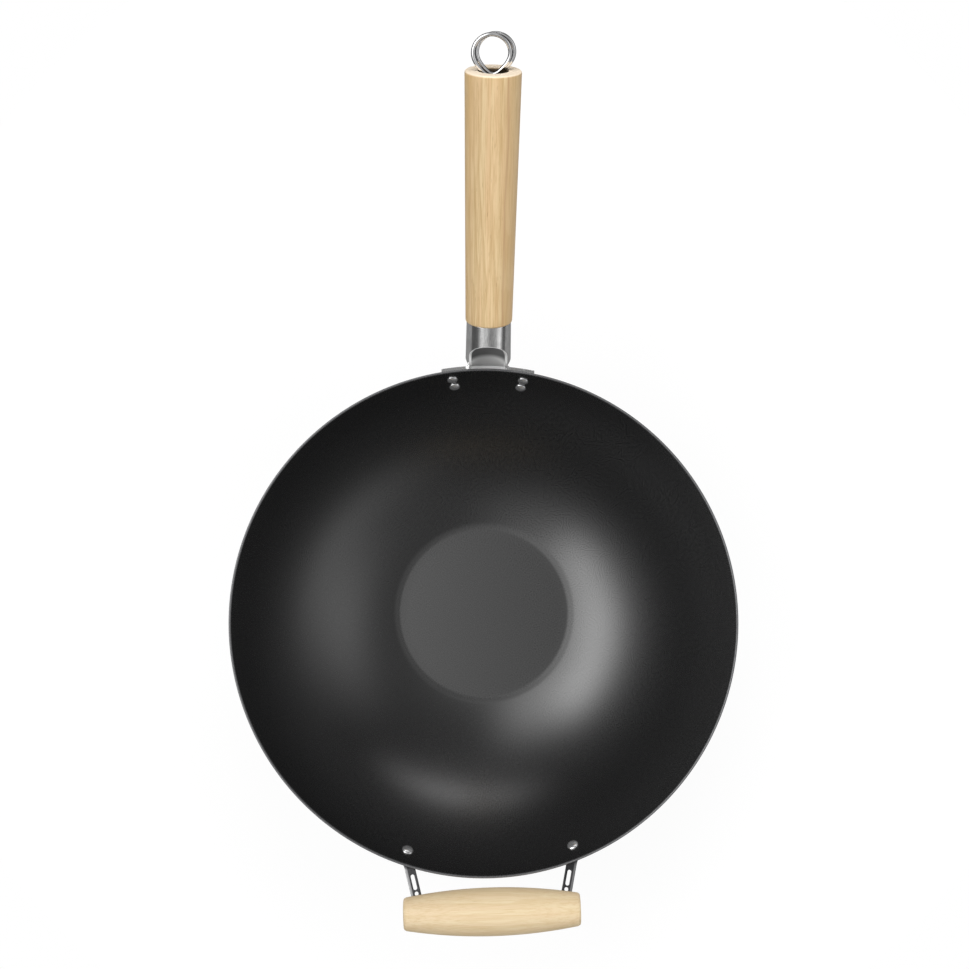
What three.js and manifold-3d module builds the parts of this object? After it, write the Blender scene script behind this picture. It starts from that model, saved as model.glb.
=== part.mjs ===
// Flat-bottomed wok: a pressed steel bowl, a turned wooden handle in a riveted socket, a small helper grip.
// Millimetres and degrees, Z up, origin at the centre of the base underside, long handle towards +Y.
import * as THREE from 'three';
import { mergeVertices } from 'three/addons/utils/BufferGeometryUtils.js';
import Module from 'manifold-3d';

const wasm = await Module();
wasm.setup();

// Bowl
const RIM_RADIUS = 178;
const BASE_RADIUS = 66;
const BOWL_HEIGHT = 98.5;
const SHEET = 1.5;
const BASE_BEND = 20;

// Socket of the long handle
const HANDLE_RISE = 26;
const SOCKET_MOUTH_RADIUS = 15.3;
const SOCKET_FOOT_RADIUS = 15.7;
const SOCKET_WALL = 1.6;
const NECK_HALF_WIDTH = 13.6;
const NECK_FOOT = 2.5;
const NECK_TOP = 8.5;
const ARCH_APEX = 22;
const ARCH_HALF_WIDTH = 12.9;
const ARCH_CROWN = 9.5;
const FLARE_BEND = 2.7;

// Strap of the socket and its rivets, drops measured along the wall from the rim
const STRAP_THICK = 2.6;
const STRAP_HALF_WIDTH = 33;
const STRAP_FOOT_HALF_WIDTH = 31;
const STRAP_TOP_DROP = 0.8;
const STRAP_WING_DROP = 26;
const STRAP_LOBE_DROP = 34;
const STRAP_LOBE_HALF_WIDTH = 9;
const STRAP_CORNER = 5;
const UPPER_RIVET_DROP = 9.5;
const UPPER_RIVET_SIDE = 25;
const LOWER_RIVET_DROP = 18.5;
const LOWER_RIVET_SIDE = 23.5;
const HANDLE_RIVET_HEAD = 3.5;
const HANDLE_RIVET_DOME = 1.7;

// Long handle, distances measured along its axis from the rim
const WOOD_START = 36.2;
const WOOD_LENGTH = 171.3;
const WOOD_SHOULDER = 0.8;
const WOOD_END_RADIUS = 18.6;
const WOOD_BEVEL = 1.3;
const WOOD_ROUND = 1.4;
const TENON_LENGTH = 10;
const TENON_CHAMFER = 0.8;
const RECESS_RADIUS = 10.15;
const RECESS_DEPTH = 9.5;
const RECESS_LIP = 0.4;

// Eye rod and its fixings
const WIRE_RADIUS = 1.35;
const EYE_RADIUS = 11.35;
const EYE_SINK = 2.45;
const EYE_NECK_DROP = 3;
const EYE_NECK_SHARPNESS = 15;
const TURN_SHIFT = 2.5;
const TURN_GAP = 0.55;
const TAIL_LENGTH = 1.6;
const WASHER_RADIUS = 8;
const WASHER_THICK = 1.2;
const PLUG_THICK = 3;
const NUT_RADIUS = 3.6;
const NUT_THICK = 3;
const ROD_TIP = 2;

// Helper grip
const HELPER_TURN = 2.7;
const GRIP_STANDOFF = 22.5;
const GRIP_HEIGHT = 4;
const GRIP_LENGTH = 123;
const GRIP_MID_RADIUS = 16.5;
const GRIP_END_RADIUS = 11.1;
const GRIP_ROUND = 1.6;

// Helper legs, their rivets and screws
const HELPER_RIVET_ANGLE = 20.1;
const HELPER_RIVET_DROP = 14.7;
const HELPER_RIVET_HEAD = 3.9;
const HELPER_RIVET_DOME = 1.9;
const LEG_SPACING = 99.5;
const LEG_WIDTH = 7.3;
const LEG_THICK = 1.5;
const LEG_BEND_RUN = 6;
const FOOT_WIDTH = 10.5;
const FOOT_LENGTH = 7;
const TANG_PAST_AXIS = 5.5;
const SLOT_WIDTH = 2.7;
const SLOT_LENGTH = 11;
const SLOT_INSET = 0.5;
const EYELET_LENGTH = 3;
const EYELET_SHOWN = 2.5;
const SLOT_BRIDGE = 1.1;
const FLANGE_DEPTH = 3.4;
const FLANGE_THICK = 1.2;
const FLANGE_START = 7;
const FLANGE_RUNOUT = 4;
const SCREW_RADIUS = 1.6;
const SCREW_HEAD_RADIUS = 3.3;
const SCREW_HEAD_THICK = 2.2;
const SCREW_SEAT = 8.5;
const SCREW_LENGTH = 15.5;
const SCREW_TAPER = 3;

// Fits and facets
const RIVET_SHANK = 2.3;
const CLEAR = 0.35;
const BOWL_SEGMENTS = 72;
const ROUND_SEGMENTS = 32;
const SMALL_SEGMENTS = 14;

// Values that follow
const rad = THREE.MathUtils.degToRad;
const CENTRE_HEIGHT = (BOWL_HEIGHT + (RIM_RADIUS ** 2 - BASE_RADIUS ** 2) / BOWL_HEIGHT) / 2;
const WALL_RADIUS = Math.hypot(CENTRE_HEIGHT, BASE_RADIUS);
const RIM_ANGLE = Math.asin(RIM_RADIUS / WALL_RADIUS);
const FLAT_RADIUS = Math.sqrt((WALL_RADIUS - BASE_BEND) ** 2 - (CENTRE_HEIGHT - BASE_BEND) ** 2);
const BEND_ANGLE = Math.asin(FLAT_RADIUS / (WALL_RADIUS - BASE_BEND));

// Merges a geometry to bare points and triangles, every face outward.
function closed(geometry) {
  const bare = geometry.clone();
  bare.deleteAttribute('normal');
  bare.deleteAttribute('uv');
  const merged = mergeVertices(bare, 1e-4);
  const points = merged.getAttribute('position');
  const corners = merged.index.array;
  const keep = [];
  const [a, b, c] = [new THREE.Vector3(), new THREE.Vector3(), new THREE.Vector3()];
  let volume = 0;
  for (let i = 0; i < corners.length; i += 3) {
    const [p, q, r] = corners.slice(i, i + 3);
    if (p === q || q === r || p === r) continue;
    keep.push(p, q, r);
    a.fromBufferAttribute(points, p);
    b.fromBufferAttribute(points, q);
    c.fromBufferAttribute(points, r);
    volume += a.dot(b.cross(c));
  }
  if (volume < 0) keep.reverse();
  merged.setIndex(keep);
  return merged;
}

function solid(geometry) {
  const g = closed(geometry);
  return new wasm.Manifold(new wasm.Mesh({
    numProp: 3,
    vertProperties: new Float32Array(g.getAttribute('position').array),
    triVerts: new Uint32Array(g.index.array),
  }));
}

function geometryOf(made) {
  const m = made.getMesh();
  const g = new THREE.BufferGeometry();
  g.setAttribute('position', new THREE.BufferAttribute(new Float32Array(m.vertProperties), 3));
  g.setIndex(new THREE.BufferAttribute(new Uint32Array(m.triVerts), 1));
  return g;
}

function node(name, geometry, color, metalness, roughness) {
  const flat = geometry.toNonIndexed();
  flat.computeVertexNormals();
  const mesh = new THREE.Mesh(flat, new THREE.MeshStandardMaterial({ color, metalness, roughness }));
  mesh.name = name;
  return mesh;
}

// A solid of revolution about Y from pairs of radius and height.
function turned(profile, segments) {
  return new THREE.LatheGeometry(profile.map(([r, y]) => new THREE.Vector2(r, y)), segments);
}

// A turned ring with a bore, between two heights.
function ring(bore, radius, low, high, segments) {
  return turned([[bore, low], [radius, low], [radius, high], [bore, high], [bore, low]], segments);
}

// Points on a circle, angles counted from straight down.
function arc(cx, cy, radius, from, to, steps) {
  return Array.from({ length: steps + 1 }, (_, i) => {
    const t = THREE.MathUtils.lerp(from, to, i / steps);
    return [cx + radius * Math.sin(t), cy - radius * Math.cos(t)];
  });
}

function rod(radius, low, high) {
  return new THREE.CylinderGeometry(radius, radius, high - low, SMALL_SEGMENTS)
    .translate(0, (low + high) / 2, 0);
}

// Turns a geometry whose axis is Y to an axis through a place.
function along(geometry, { place, normal }) {
  const turn = new THREE.Quaternion().setFromUnitVectors(new THREE.Vector3(0, 1, 0), normal);
  return geometry.applyQuaternion(turn).translate(place.x, place.y, place.z);
}

// Place and outward normal on the bowl wall, azimuth from +X, polar angle from straight down.
function onWall(azimuth, polar, lift) {
  const normal = new THREE.Vector3(
    Math.cos(azimuth) * Math.sin(polar),
    Math.sin(azimuth) * Math.sin(polar),
    -Math.cos(polar),
  );
  const place = normal.clone().multiplyScalar(WALL_RADIUS + lift);
  place.z += CENTRE_HEIGHT;
  return { place, normal };
}

// A solid lofted through closed rings of equal count, capped at both ends.
function loft(rings) {
  const count = rings[0].length;
  const points = rings.flat();
  const index = [];
  rings.slice(1).forEach((_, k) => {
    for (let i = 0; i < count; i += 1) {
      const a = k * count + i;
      const b = k * count + ((i + 1) % count);
      index.push(a, b, b + count, a, b + count, a + count);
    }
  });
  for (const [from, flip] of [[0, true], [points.length - count, false]]) {
    const middle = new THREE.Vector3();
    points.slice(from, from + count).forEach((p) => middle.addScaledVector(p, 1 / count));
    const hub = rings.length * count + (flip ? 0 : 1);
    points[hub] = middle;
  }
  for (let i = 0; i < count; i += 1) {
    const j = (i + 1) % count;
    const last = (rings.length - 1) * count;
    index.push(rings.length * count, j, i, rings.length * count + 1, last + i, last + j);
  }
  const g = new THREE.BufferGeometry().setFromPoints(points);
  g.setIndex(index);
  return g;
}

// A strip of sheet lofted through stations of centre, across and face directions.
function strip(stations) {
  return loft(stations.map(({ centre, across, face, width, thick }) => (
    [[-1, -1], [1, -1], [1, 1], [-1, 1]].map(([i, j]) => centre.clone()
      .addScaledVector(across, (i * width) / 2)
      .addScaledVector(face, (j * thick) / 2))
  )));
}

// An outline extruded to both sides of its plane, then placed by a basis.
function plate(shape, depth, basis) {
  const options = { depth, bevelEnabled: false, curveSegments: 5 };
  return new THREE.ExtrudeGeometry(shape, options).translate(0, 0, -depth / 2).applyMatrix4(basis);
}

function slotShape(length, width) {
  const r = width / 2;
  const straight = length / 2 - r;
  const shape = new THREE.Shape();
  shape.absarc(0, -straight, r, Math.PI, 2 * Math.PI, false);
  shape.absarc(0, straight, r, 0, Math.PI, false);
  shape.closePath();
  return shape;
}

// Rivets: domed heads inside the wall and outside what it grips
function rivet(head, dome, grip) {
  const inner = -SHEET - CLEAR;
  const outer = grip + 2 * CLEAR;
  const edge = [0, 1, 2, 3].map((i) => (i * Math.PI) / 6);
  return turned([
    ...edge.map((t) => [head * Math.sin(t), inner - dome * Math.cos(t)]),
    [RIVET_SHANK, inner],
    [RIVET_SHANK, outer],
    ...edge.reverse().map((t) => [head * Math.sin(t), outer + dome * Math.cos(t)]),
  ], SMALL_SEGMENTS);
}

const rivetHole = (seat) => {
  const past = SHEET + STRAP_THICK + LEG_THICK;
  return solid(along(rod(RIVET_SHANK + CLEAR, -past, past), seat));
};
const handleSeats = [-1, 1].flatMap((side) => [
  [UPPER_RIVET_DROP, UPPER_RIVET_SIDE],
  [LOWER_RIVET_DROP, LOWER_RIVET_SIDE],
].map(([drop, reach]) => {
  const polar = RIM_ANGLE - drop / WALL_RADIUS;
  const swing = Math.asin(reach / (WALL_RADIUS * Math.sin(polar)));
  return onWall(Math.PI / 2 - side * swing, polar, 0);
}));
const helperPolar = RIM_ANGLE - HELPER_RIVET_DROP / WALL_RADIUS;
const helperSeats = [-1, 1].map((side) => (
  onWall(rad(HELPER_TURN + side * HELPER_RIVET_ANGLE) - Math.PI / 2, helperPolar, 0)
));

// Bowl: flat base, bend, spherical wall, rounded rim edge, six rivet holes
const [[edgeX, edgeZ]] = arc(0, CENTRE_HEIGHT, WALL_RADIUS - SHEET / 2, RIM_ANGLE, RIM_ANGLE, 1);
const bowlProfile = [
  [0, 0],
  ...arc(FLAT_RADIUS, BASE_BEND, BASE_BEND, 0, BEND_ANGLE, 2),
  ...arc(0, CENTRE_HEIGHT, WALL_RADIUS, BEND_ANGLE, RIM_ANGLE, 10).slice(1),
  ...arc(edgeX, edgeZ, SHEET / 2, RIM_ANGLE, RIM_ANGLE + Math.PI, 3).slice(1, -1),
  ...arc(0, CENTRE_HEIGHT, WALL_RADIUS - SHEET, RIM_ANGLE, BEND_ANGLE, 10),
  ...arc(FLAT_RADIUS, BASE_BEND, BASE_BEND - SHEET, BEND_ANGLE, 0, 2).slice(1),
  [0, SHEET],
];
let bowl = solid(turned(bowlProfile, BOWL_SEGMENTS).rotateX(Math.PI / 2));
for (const seat of [...handleSeats, ...helperSeats]) bowl = bowl.subtract(rivetHole(seat));

// Strap: a piece of shell on the outer wall, trimmed to wings for the rivets and a lobe under the socket
const strapInner = WALL_RADIUS + CLEAR;
const strapOuter = strapInner + STRAP_THICK;
const strapMiddle = (STRAP_TOP_DROP + STRAP_LOBE_DROP) / 2;
const strapPolar = RIM_ANGLE - strapMiddle / WALL_RADIUS;
const shellHigh = RIM_ANGLE - STRAP_TOP_DROP / WALL_RADIUS;
const shellLow = RIM_ANGLE - (STRAP_LOBE_DROP + STRAP_CORNER) / WALL_RADIUS;
const shellProfile = [
  ...arc(0, CENTRE_HEIGHT, strapOuter, shellLow, shellHigh, 6),
  ...arc(0, CENTRE_HEIGHT, strapInner, shellHigh, shellLow, 6),
];
shellProfile.push(shellProfile[0]);
const strapSeat = onWall(Math.PI / 2, strapPolar, CLEAR + STRAP_THICK);
const strapAcross = new THREE.Vector3(1, 0, 0);
const strapUp = new THREE.Vector3(0, Math.cos(strapPolar), Math.sin(strapPolar));
const strapFrame = new THREE.Matrix4()
  .makeBasis(strapAcross, strapUp, strapSeat.normal.clone().negate())
  .setPosition(strapSeat.place);
const wingLow = strapMiddle - STRAP_WING_DROP;
const lobeLow = strapMiddle - STRAP_LOBE_DROP;
const lobeWide = 2 * STRAP_LOBE_HALF_WIDTH;
const wingFlat = STRAP_FOOT_HALF_WIDTH - STRAP_CORNER;
const strapShape = new THREE.Shape();
strapShape.moveTo(-STRAP_HALF_WIDTH, strapMiddle + STRAP_CORNER);
strapShape.lineTo(STRAP_HALF_WIDTH, strapMiddle + STRAP_CORNER);
strapShape.lineTo(STRAP_FOOT_HALF_WIDTH, wingLow + STRAP_CORNER);
strapShape.quadraticCurveTo(STRAP_FOOT_HALF_WIDTH, wingLow, wingFlat, wingLow);
strapShape.bezierCurveTo(lobeWide, wingLow, lobeWide, lobeLow, STRAP_LOBE_HALF_WIDTH, lobeLow);
strapShape.lineTo(-STRAP_LOBE_HALF_WIDTH, lobeLow);
strapShape.bezierCurveTo(-lobeWide, lobeLow, -lobeWide, wingLow, -wingFlat, wingLow);
strapShape.quadraticCurveTo(-STRAP_FOOT_HALF_WIDTH, wingLow, -STRAP_FOOT_HALF_WIDTH, wingLow + STRAP_CORNER);
strapShape.closePath();
const strap = solid(turned(shellProfile, BOWL_SEGMENTS).rotateX(Math.PI / 2))
  .intersect(solid(plate(strapShape, STRAP_LOBE_DROP, strapFrame)));

// Frame of the long handle: X across, Y along its axis, Z its upper side, origin on the rim
const handleFrame = new THREE.Matrix4()
  .makeRotationX(rad(HANDLE_RISE))
  .setPosition(0, RIM_RADIUS, BOWL_HEIGHT);
const handleAxis = new THREE.Vector3(0, 1, 0).transformDirection(handleFrame);
const handleFoot = new THREE.Vector3().setFromMatrixPosition(handleFrame);

// Socket: a tapered tube that necks in beside the rim
const socketStart = -STRAP_LOBE_DROP - SOCKET_FOOT_RADIUS;
const socketEnd = WOOD_START - CLEAR;
const socketRadius = (y) => THREE.MathUtils.mapLinear(
  THREE.MathUtils.clamp(y, NECK_TOP, socketEnd),
  NECK_TOP,
  socketEnd,
  SOCKET_FOOT_RADIUS,
  SOCKET_MOUTH_RADIUS,
);
const socketHalf = (y) => THREE.MathUtils.lerp(
  NECK_HALF_WIDTH,
  socketRadius(y),
  THREE.MathUtils.smoothstep(y, NECK_FOOT, NECK_TOP),
);
const neckSteps = [0, 0.25, 0.5, 0.75, 1].map((t) => THREE.MathUtils.lerp(NECK_FOOT, NECK_TOP, t));
const ovals = (inset, past) => [socketStart - past, ...neckSteps, socketEnd + past].map((y) => (
  Array.from({ length: ROUND_SEGMENTS }, (_, i) => {
    const t = (2 * Math.PI * i) / ROUND_SEGMENTS;
    const across = (socketHalf(y) - inset) * Math.cos(t);
    return new THREE.Vector3(across, y, (socketRadius(y) - inset) * Math.sin(t)).applyMatrix4(handleFrame);
  })
));

// Flare: the neck bends out all round into the strap, rings stacked outward from the strap face
const leanOut = handleAxis.dot(strapSeat.normal);
const leanUp = handleAxis.dot(strapUp);
const footRise = handleFoot.clone().sub(strapSeat.place);
const flareRing = (lift, spread) => Array.from({ length: ROUND_SEGMENTS }, (_, i) => {
  const t = (2 * Math.PI * i) / ROUND_SEGMENTS;
  const axisAt = footRise.dot(strapUp) + ((lift - footRise.dot(strapSeat.normal)) * leanUp) / leanOut;
  const x = (NECK_HALF_WIDTH + spread) * Math.cos(t);
  const y = axisAt + (SOCKET_FOOT_RADIUS / leanOut + spread) * Math.sin(t);
  const sag = (x ** 2 + y ** 2) / (2 * strapOuter);
  return strapSeat.place.clone()
    .addScaledVector(strapAcross, x)
    .addScaledVector(strapUp, y)
    .addScaledVector(strapSeat.normal, lift - sag);
});
const flareRings = [flareRing(-STRAP_THICK, FLARE_BEND)];
for (const t of [0, 0.12, 0.3, 0.55, 1]) {
  const lift = t * FLARE_BEND;
  flareRings.push(flareRing(lift, FLARE_BEND - Math.sqrt(FLARE_BEND ** 2 - (FLARE_BEND - lift) ** 2)));
}
flareRings.push(flareRing(FLARE_BEND + SOCKET_WALL, -SOCKET_WALL / 2));
const strapEdge = CENTRE_HEIGHT - strapOuter * Math.cos(shellHigh);
const overStrap = new THREE.BoxGeometry(2 * RIM_RADIUS, 2 * RIM_RADIUS, BOWL_HEIGHT)
  .translate(0, RIM_RADIUS, strapEdge + BOWL_HEIGHT / 2);
const flare = solid(loft(flareRings)).subtract(solid(overStrap));

// Arch in the top of the socket, its cut square to the sheet, and the trim that keeps the socket off the bowl
const archLeg = [socketStart - 1, NECK_FOOT, NECK_TOP];
const archOutline = archLeg.map((y) => [-ARCH_HALF_WIDTH, y]);
for (let i = 0; i <= 16; i += 1) {
  const t = Math.PI * (1 - i / 16);
  archOutline.push([ARCH_HALF_WIDTH * Math.cos(t), ARCH_APEX + ARCH_CROWN * (Math.sin(t) - 1)]);
}
archOutline.push(...archLeg.reverse().map((y) => [ARCH_HALF_WIDTH, y]));
const archRing = (grow, height) => archOutline.map(([x, y]) => {
  const rise = socketRadius(y) * Math.sqrt(1 - (x / socketHalf(y)) ** 2);
  return new THREE.Vector3(grow * x, y, height ?? grow * rise).applyMatrix4(handleFrame);
});
const archInside = 1 - (1.6 * SOCKET_WALL) / SOCKET_FOOT_RADIUS;
const archOutside = 1 + (0.5 * SOCKET_WALL) / SOCKET_FOOT_RADIUS;
const arch = solid(loft([
  archRing(archInside, CLEAR),
  archRing(archInside),
  archRing(archOutside),
  archRing(archOutside, 2 * SOCKET_FOOT_RADIUS),
]));
const trimRadius = strapInner + STRAP_THICK / 2;
const trimEdge = RIM_RADIUS + CLEAR + STRAP_THICK / 2;
const trimProfile = [
  ...arc(0, CENTRE_HEIGHT, trimRadius, 0, Math.asin(trimEdge / trimRadius), 16),
  [trimEdge, 2 * BOWL_HEIGHT],
  [0, 2 * BOWL_HEIGHT],
];
const trim = solid(turned(trimProfile, BOWL_SEGMENTS).rotateX(Math.PI / 2));
const socket = solid(loft(ovals(0, 0)))
  .add(flare)
  .subtract(solid(loft(ovals(SOCKET_WALL, 1))))
  .subtract(trim)
  .subtract(arch);
let bracket = strap.add(socket);
for (const seat of handleSeats) bracket = bracket.subtract(rivetHole(seat));

// Long handle: tenon, bevelled foot, straight taper, rounded end with a recess, bore through
const boreRadius = WIRE_RADIUS + CLEAR;
const socketBore = SOCKET_MOUTH_RADIUS - SOCKET_WALL;
const tenonRadius = socketBore - CLEAR;
const tenonEnd = WOOD_START - TENON_LENGTH;
const woodStartRadius = SOCKET_MOUTH_RADIUS + WOOD_SHOULDER;
const woodEnd = WOOD_START + WOOD_LENGTH;
const recessFloor = woodEnd - RECESS_DEPTH;
const endFlat = WOOD_END_RADIUS - WOOD_ROUND;
const roundEdge = arc(endFlat, woodEnd - WOOD_ROUND, WOOD_ROUND, Math.PI / 2, Math.PI, 3);
const longHandle = closed(turned([
  [boreRadius, tenonEnd],
  [tenonRadius - TENON_CHAMFER, tenonEnd],
  [tenonRadius, tenonEnd + TENON_CHAMFER],
  [tenonRadius, WOOD_START],
  [woodStartRadius - WOOD_BEVEL, WOOD_START],
  [woodStartRadius, WOOD_START + WOOD_BEVEL],
  ...roundEdge,
  [RECESS_RADIUS + RECESS_LIP, woodEnd],
  [RECESS_RADIUS, woodEnd - RECESS_LIP],
  [RECESS_RADIUS, recessFloor],
  [boreRadius, recessFloor],
  [boreRadius, tenonEnd],
], ROUND_SEGMENTS));

// Plug and nut inside the socket, washer in the recess
const plugTop = tenonEnd - CLEAR;
const plugLow = plugTop - PLUG_THICK;
const plug = closed(ring(boreRadius, socketBore - CLEAR, plugLow, plugTop, ROUND_SEGMENTS));
const nutTop = plugLow - CLEAR;
const nutLow = nutTop - NUT_THICK;
const nutBlock = new THREE.CylinderGeometry(NUT_RADIUS, NUT_RADIUS, NUT_THICK, 6)
  .translate(0, (nutTop + nutLow) / 2, 0);
const nut = solid(nutBlock).subtract(solid(rod(boreRadius, nutLow - CLEAR, nutTop + CLEAR)));
const washerLow = recessFloor + CLEAR;
const washerTop = washerLow + WASHER_THICK;
const washer = closed(ring(boreRadius, WASHER_RADIUS, washerLow, washerTop, ROUND_SEGMENTS));

// Eye rod: straight shank, cranked neck, two turns side by side, cut tail
const turnPitch = 2 * WIRE_RADIUS + TURN_GAP;
const shankLow = nutLow - ROD_TIP;
const shankTop = washerTop + CLEAR;
const neckLow = woodEnd - EYE_SINK;
const eyeCentre = neckLow + EYE_NECK_DROP + EYE_RADIUS;
const rodPoints = [1, 0.75, 0.5, 0.25, 0.1, 0.03, 0.01, 0].map((back) => (
  new THREE.Vector3(0, THREE.MathUtils.lerp(shankTop, shankLow, back), 0)
));
for (const [share, crank] of [[0.42, 0.5], [0.72, 0.95]]) {
  const climb = THREE.MathUtils.lerp(shankTop, neckLow, share);
  rodPoints.push(new THREE.Vector3(-0.8 * TURN_SHIFT * crank, climb, turnPitch * crank));
}
const EYE_TURNS = 2;
const EYE_STEPS = 36 * EYE_TURNS;
const EYE_START = 0.2;
for (let i = 0; i <= EYE_STEPS; i += 1) {
  const phi = THREE.MathUtils.lerp(EYE_START, 2 * Math.PI * EYE_TURNS - EYE_START, i / EYE_STEPS);
  const turns = phi / (2 * Math.PI) - EYE_TURNS / 2;
  const neck = Math.cos(phi / 2) ** (2 * EYE_NECK_SHARPNESS);
  rodPoints.push(new THREE.Vector3(
    TURN_SHIFT * turns - EYE_RADIUS * Math.sin(phi),
    eyeCentre - EYE_RADIUS * Math.cos(phi) - EYE_NECK_DROP * neck,
    -turnPitch * turns,
  ));
}
rodPoints.push(new THREE.Vector3(TURN_SHIFT / 2, neckLow - TAIL_LENGTH, -turnPitch));
const rodPath = new THREE.CatmullRomCurve3(rodPoints, false, 'centripetal');
const rodSection = new THREE.Shape();
rodSection.absarc(0, 0, WIRE_RADIUS, 0, 2 * Math.PI, false);
const eyeRod = closed(new THREE.ExtrudeGeometry(rodSection, {
  steps: 112,
  extrudePath: rodPath,
  bevelEnabled: false,
  curveSegments: 4,
}));

// Least gap of the wire to itself, between points farther apart along it than the bend of the neck
const samples = rodPath.getSpacedPoints(900);
const apart = Math.ceil((10 * WIRE_RADIUS * samples.length) / rodPath.getLength());
let leastGap = Infinity;
samples.forEach((p, i) => samples.slice(i + apart).forEach((q) => {
  leastGap = Math.min(leastGap, p.distanceTo(q) - 2 * WIRE_RADIUS);
}));
console.log('least gap of the eye wire to itself ' + leastGap.toFixed(2) + ' mm');

// Grip in the helper frame, which is turned about Z: a barrel on an arc, ends rounded over
const gripPlace = new THREE.Vector3(0, -RIM_RADIUS - GRIP_STANDOFF, BOWL_HEIGHT + GRIP_HEIGHT);
const gripHalf = GRIP_LENGTH / 2;
const gripSag = GRIP_MID_RADIUS - GRIP_END_RADIUS;
const gripArc = (gripHalf ** 2 + gripSag ** 2) / (2 * gripSag);
const gripRadius = (x) => GRIP_MID_RADIUS - gripArc + Math.sqrt(gripArc ** 2 - x ** 2);
const gripBody = Array.from({ length: 11 }, (_, i) => {
  const x = (gripHalf - GRIP_ROUND) * (i / 5 - 1);
  return [gripRadius(x), x];
});
const gripEdge = GRIP_END_RADIUS - GRIP_ROUND;
const gripProfile = [
  [0, -gripHalf],
  ...arc(gripEdge, GRIP_ROUND - gripHalf, GRIP_ROUND, 0, Math.PI / 2, 3).slice(0, -1),
  ...gripBody,
  ...arc(gripEdge, gripHalf - GRIP_ROUND, GRIP_ROUND, Math.PI / 2, Math.PI, 3).slice(1),
  [0, gripHalf],
];
let grip = solid(turned(gripProfile, ROUND_SEGMENTS)
  .rotateZ(-Math.PI / 2)
  .translate(gripPlace.x, gripPlace.y, gripPlace.z));

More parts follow.
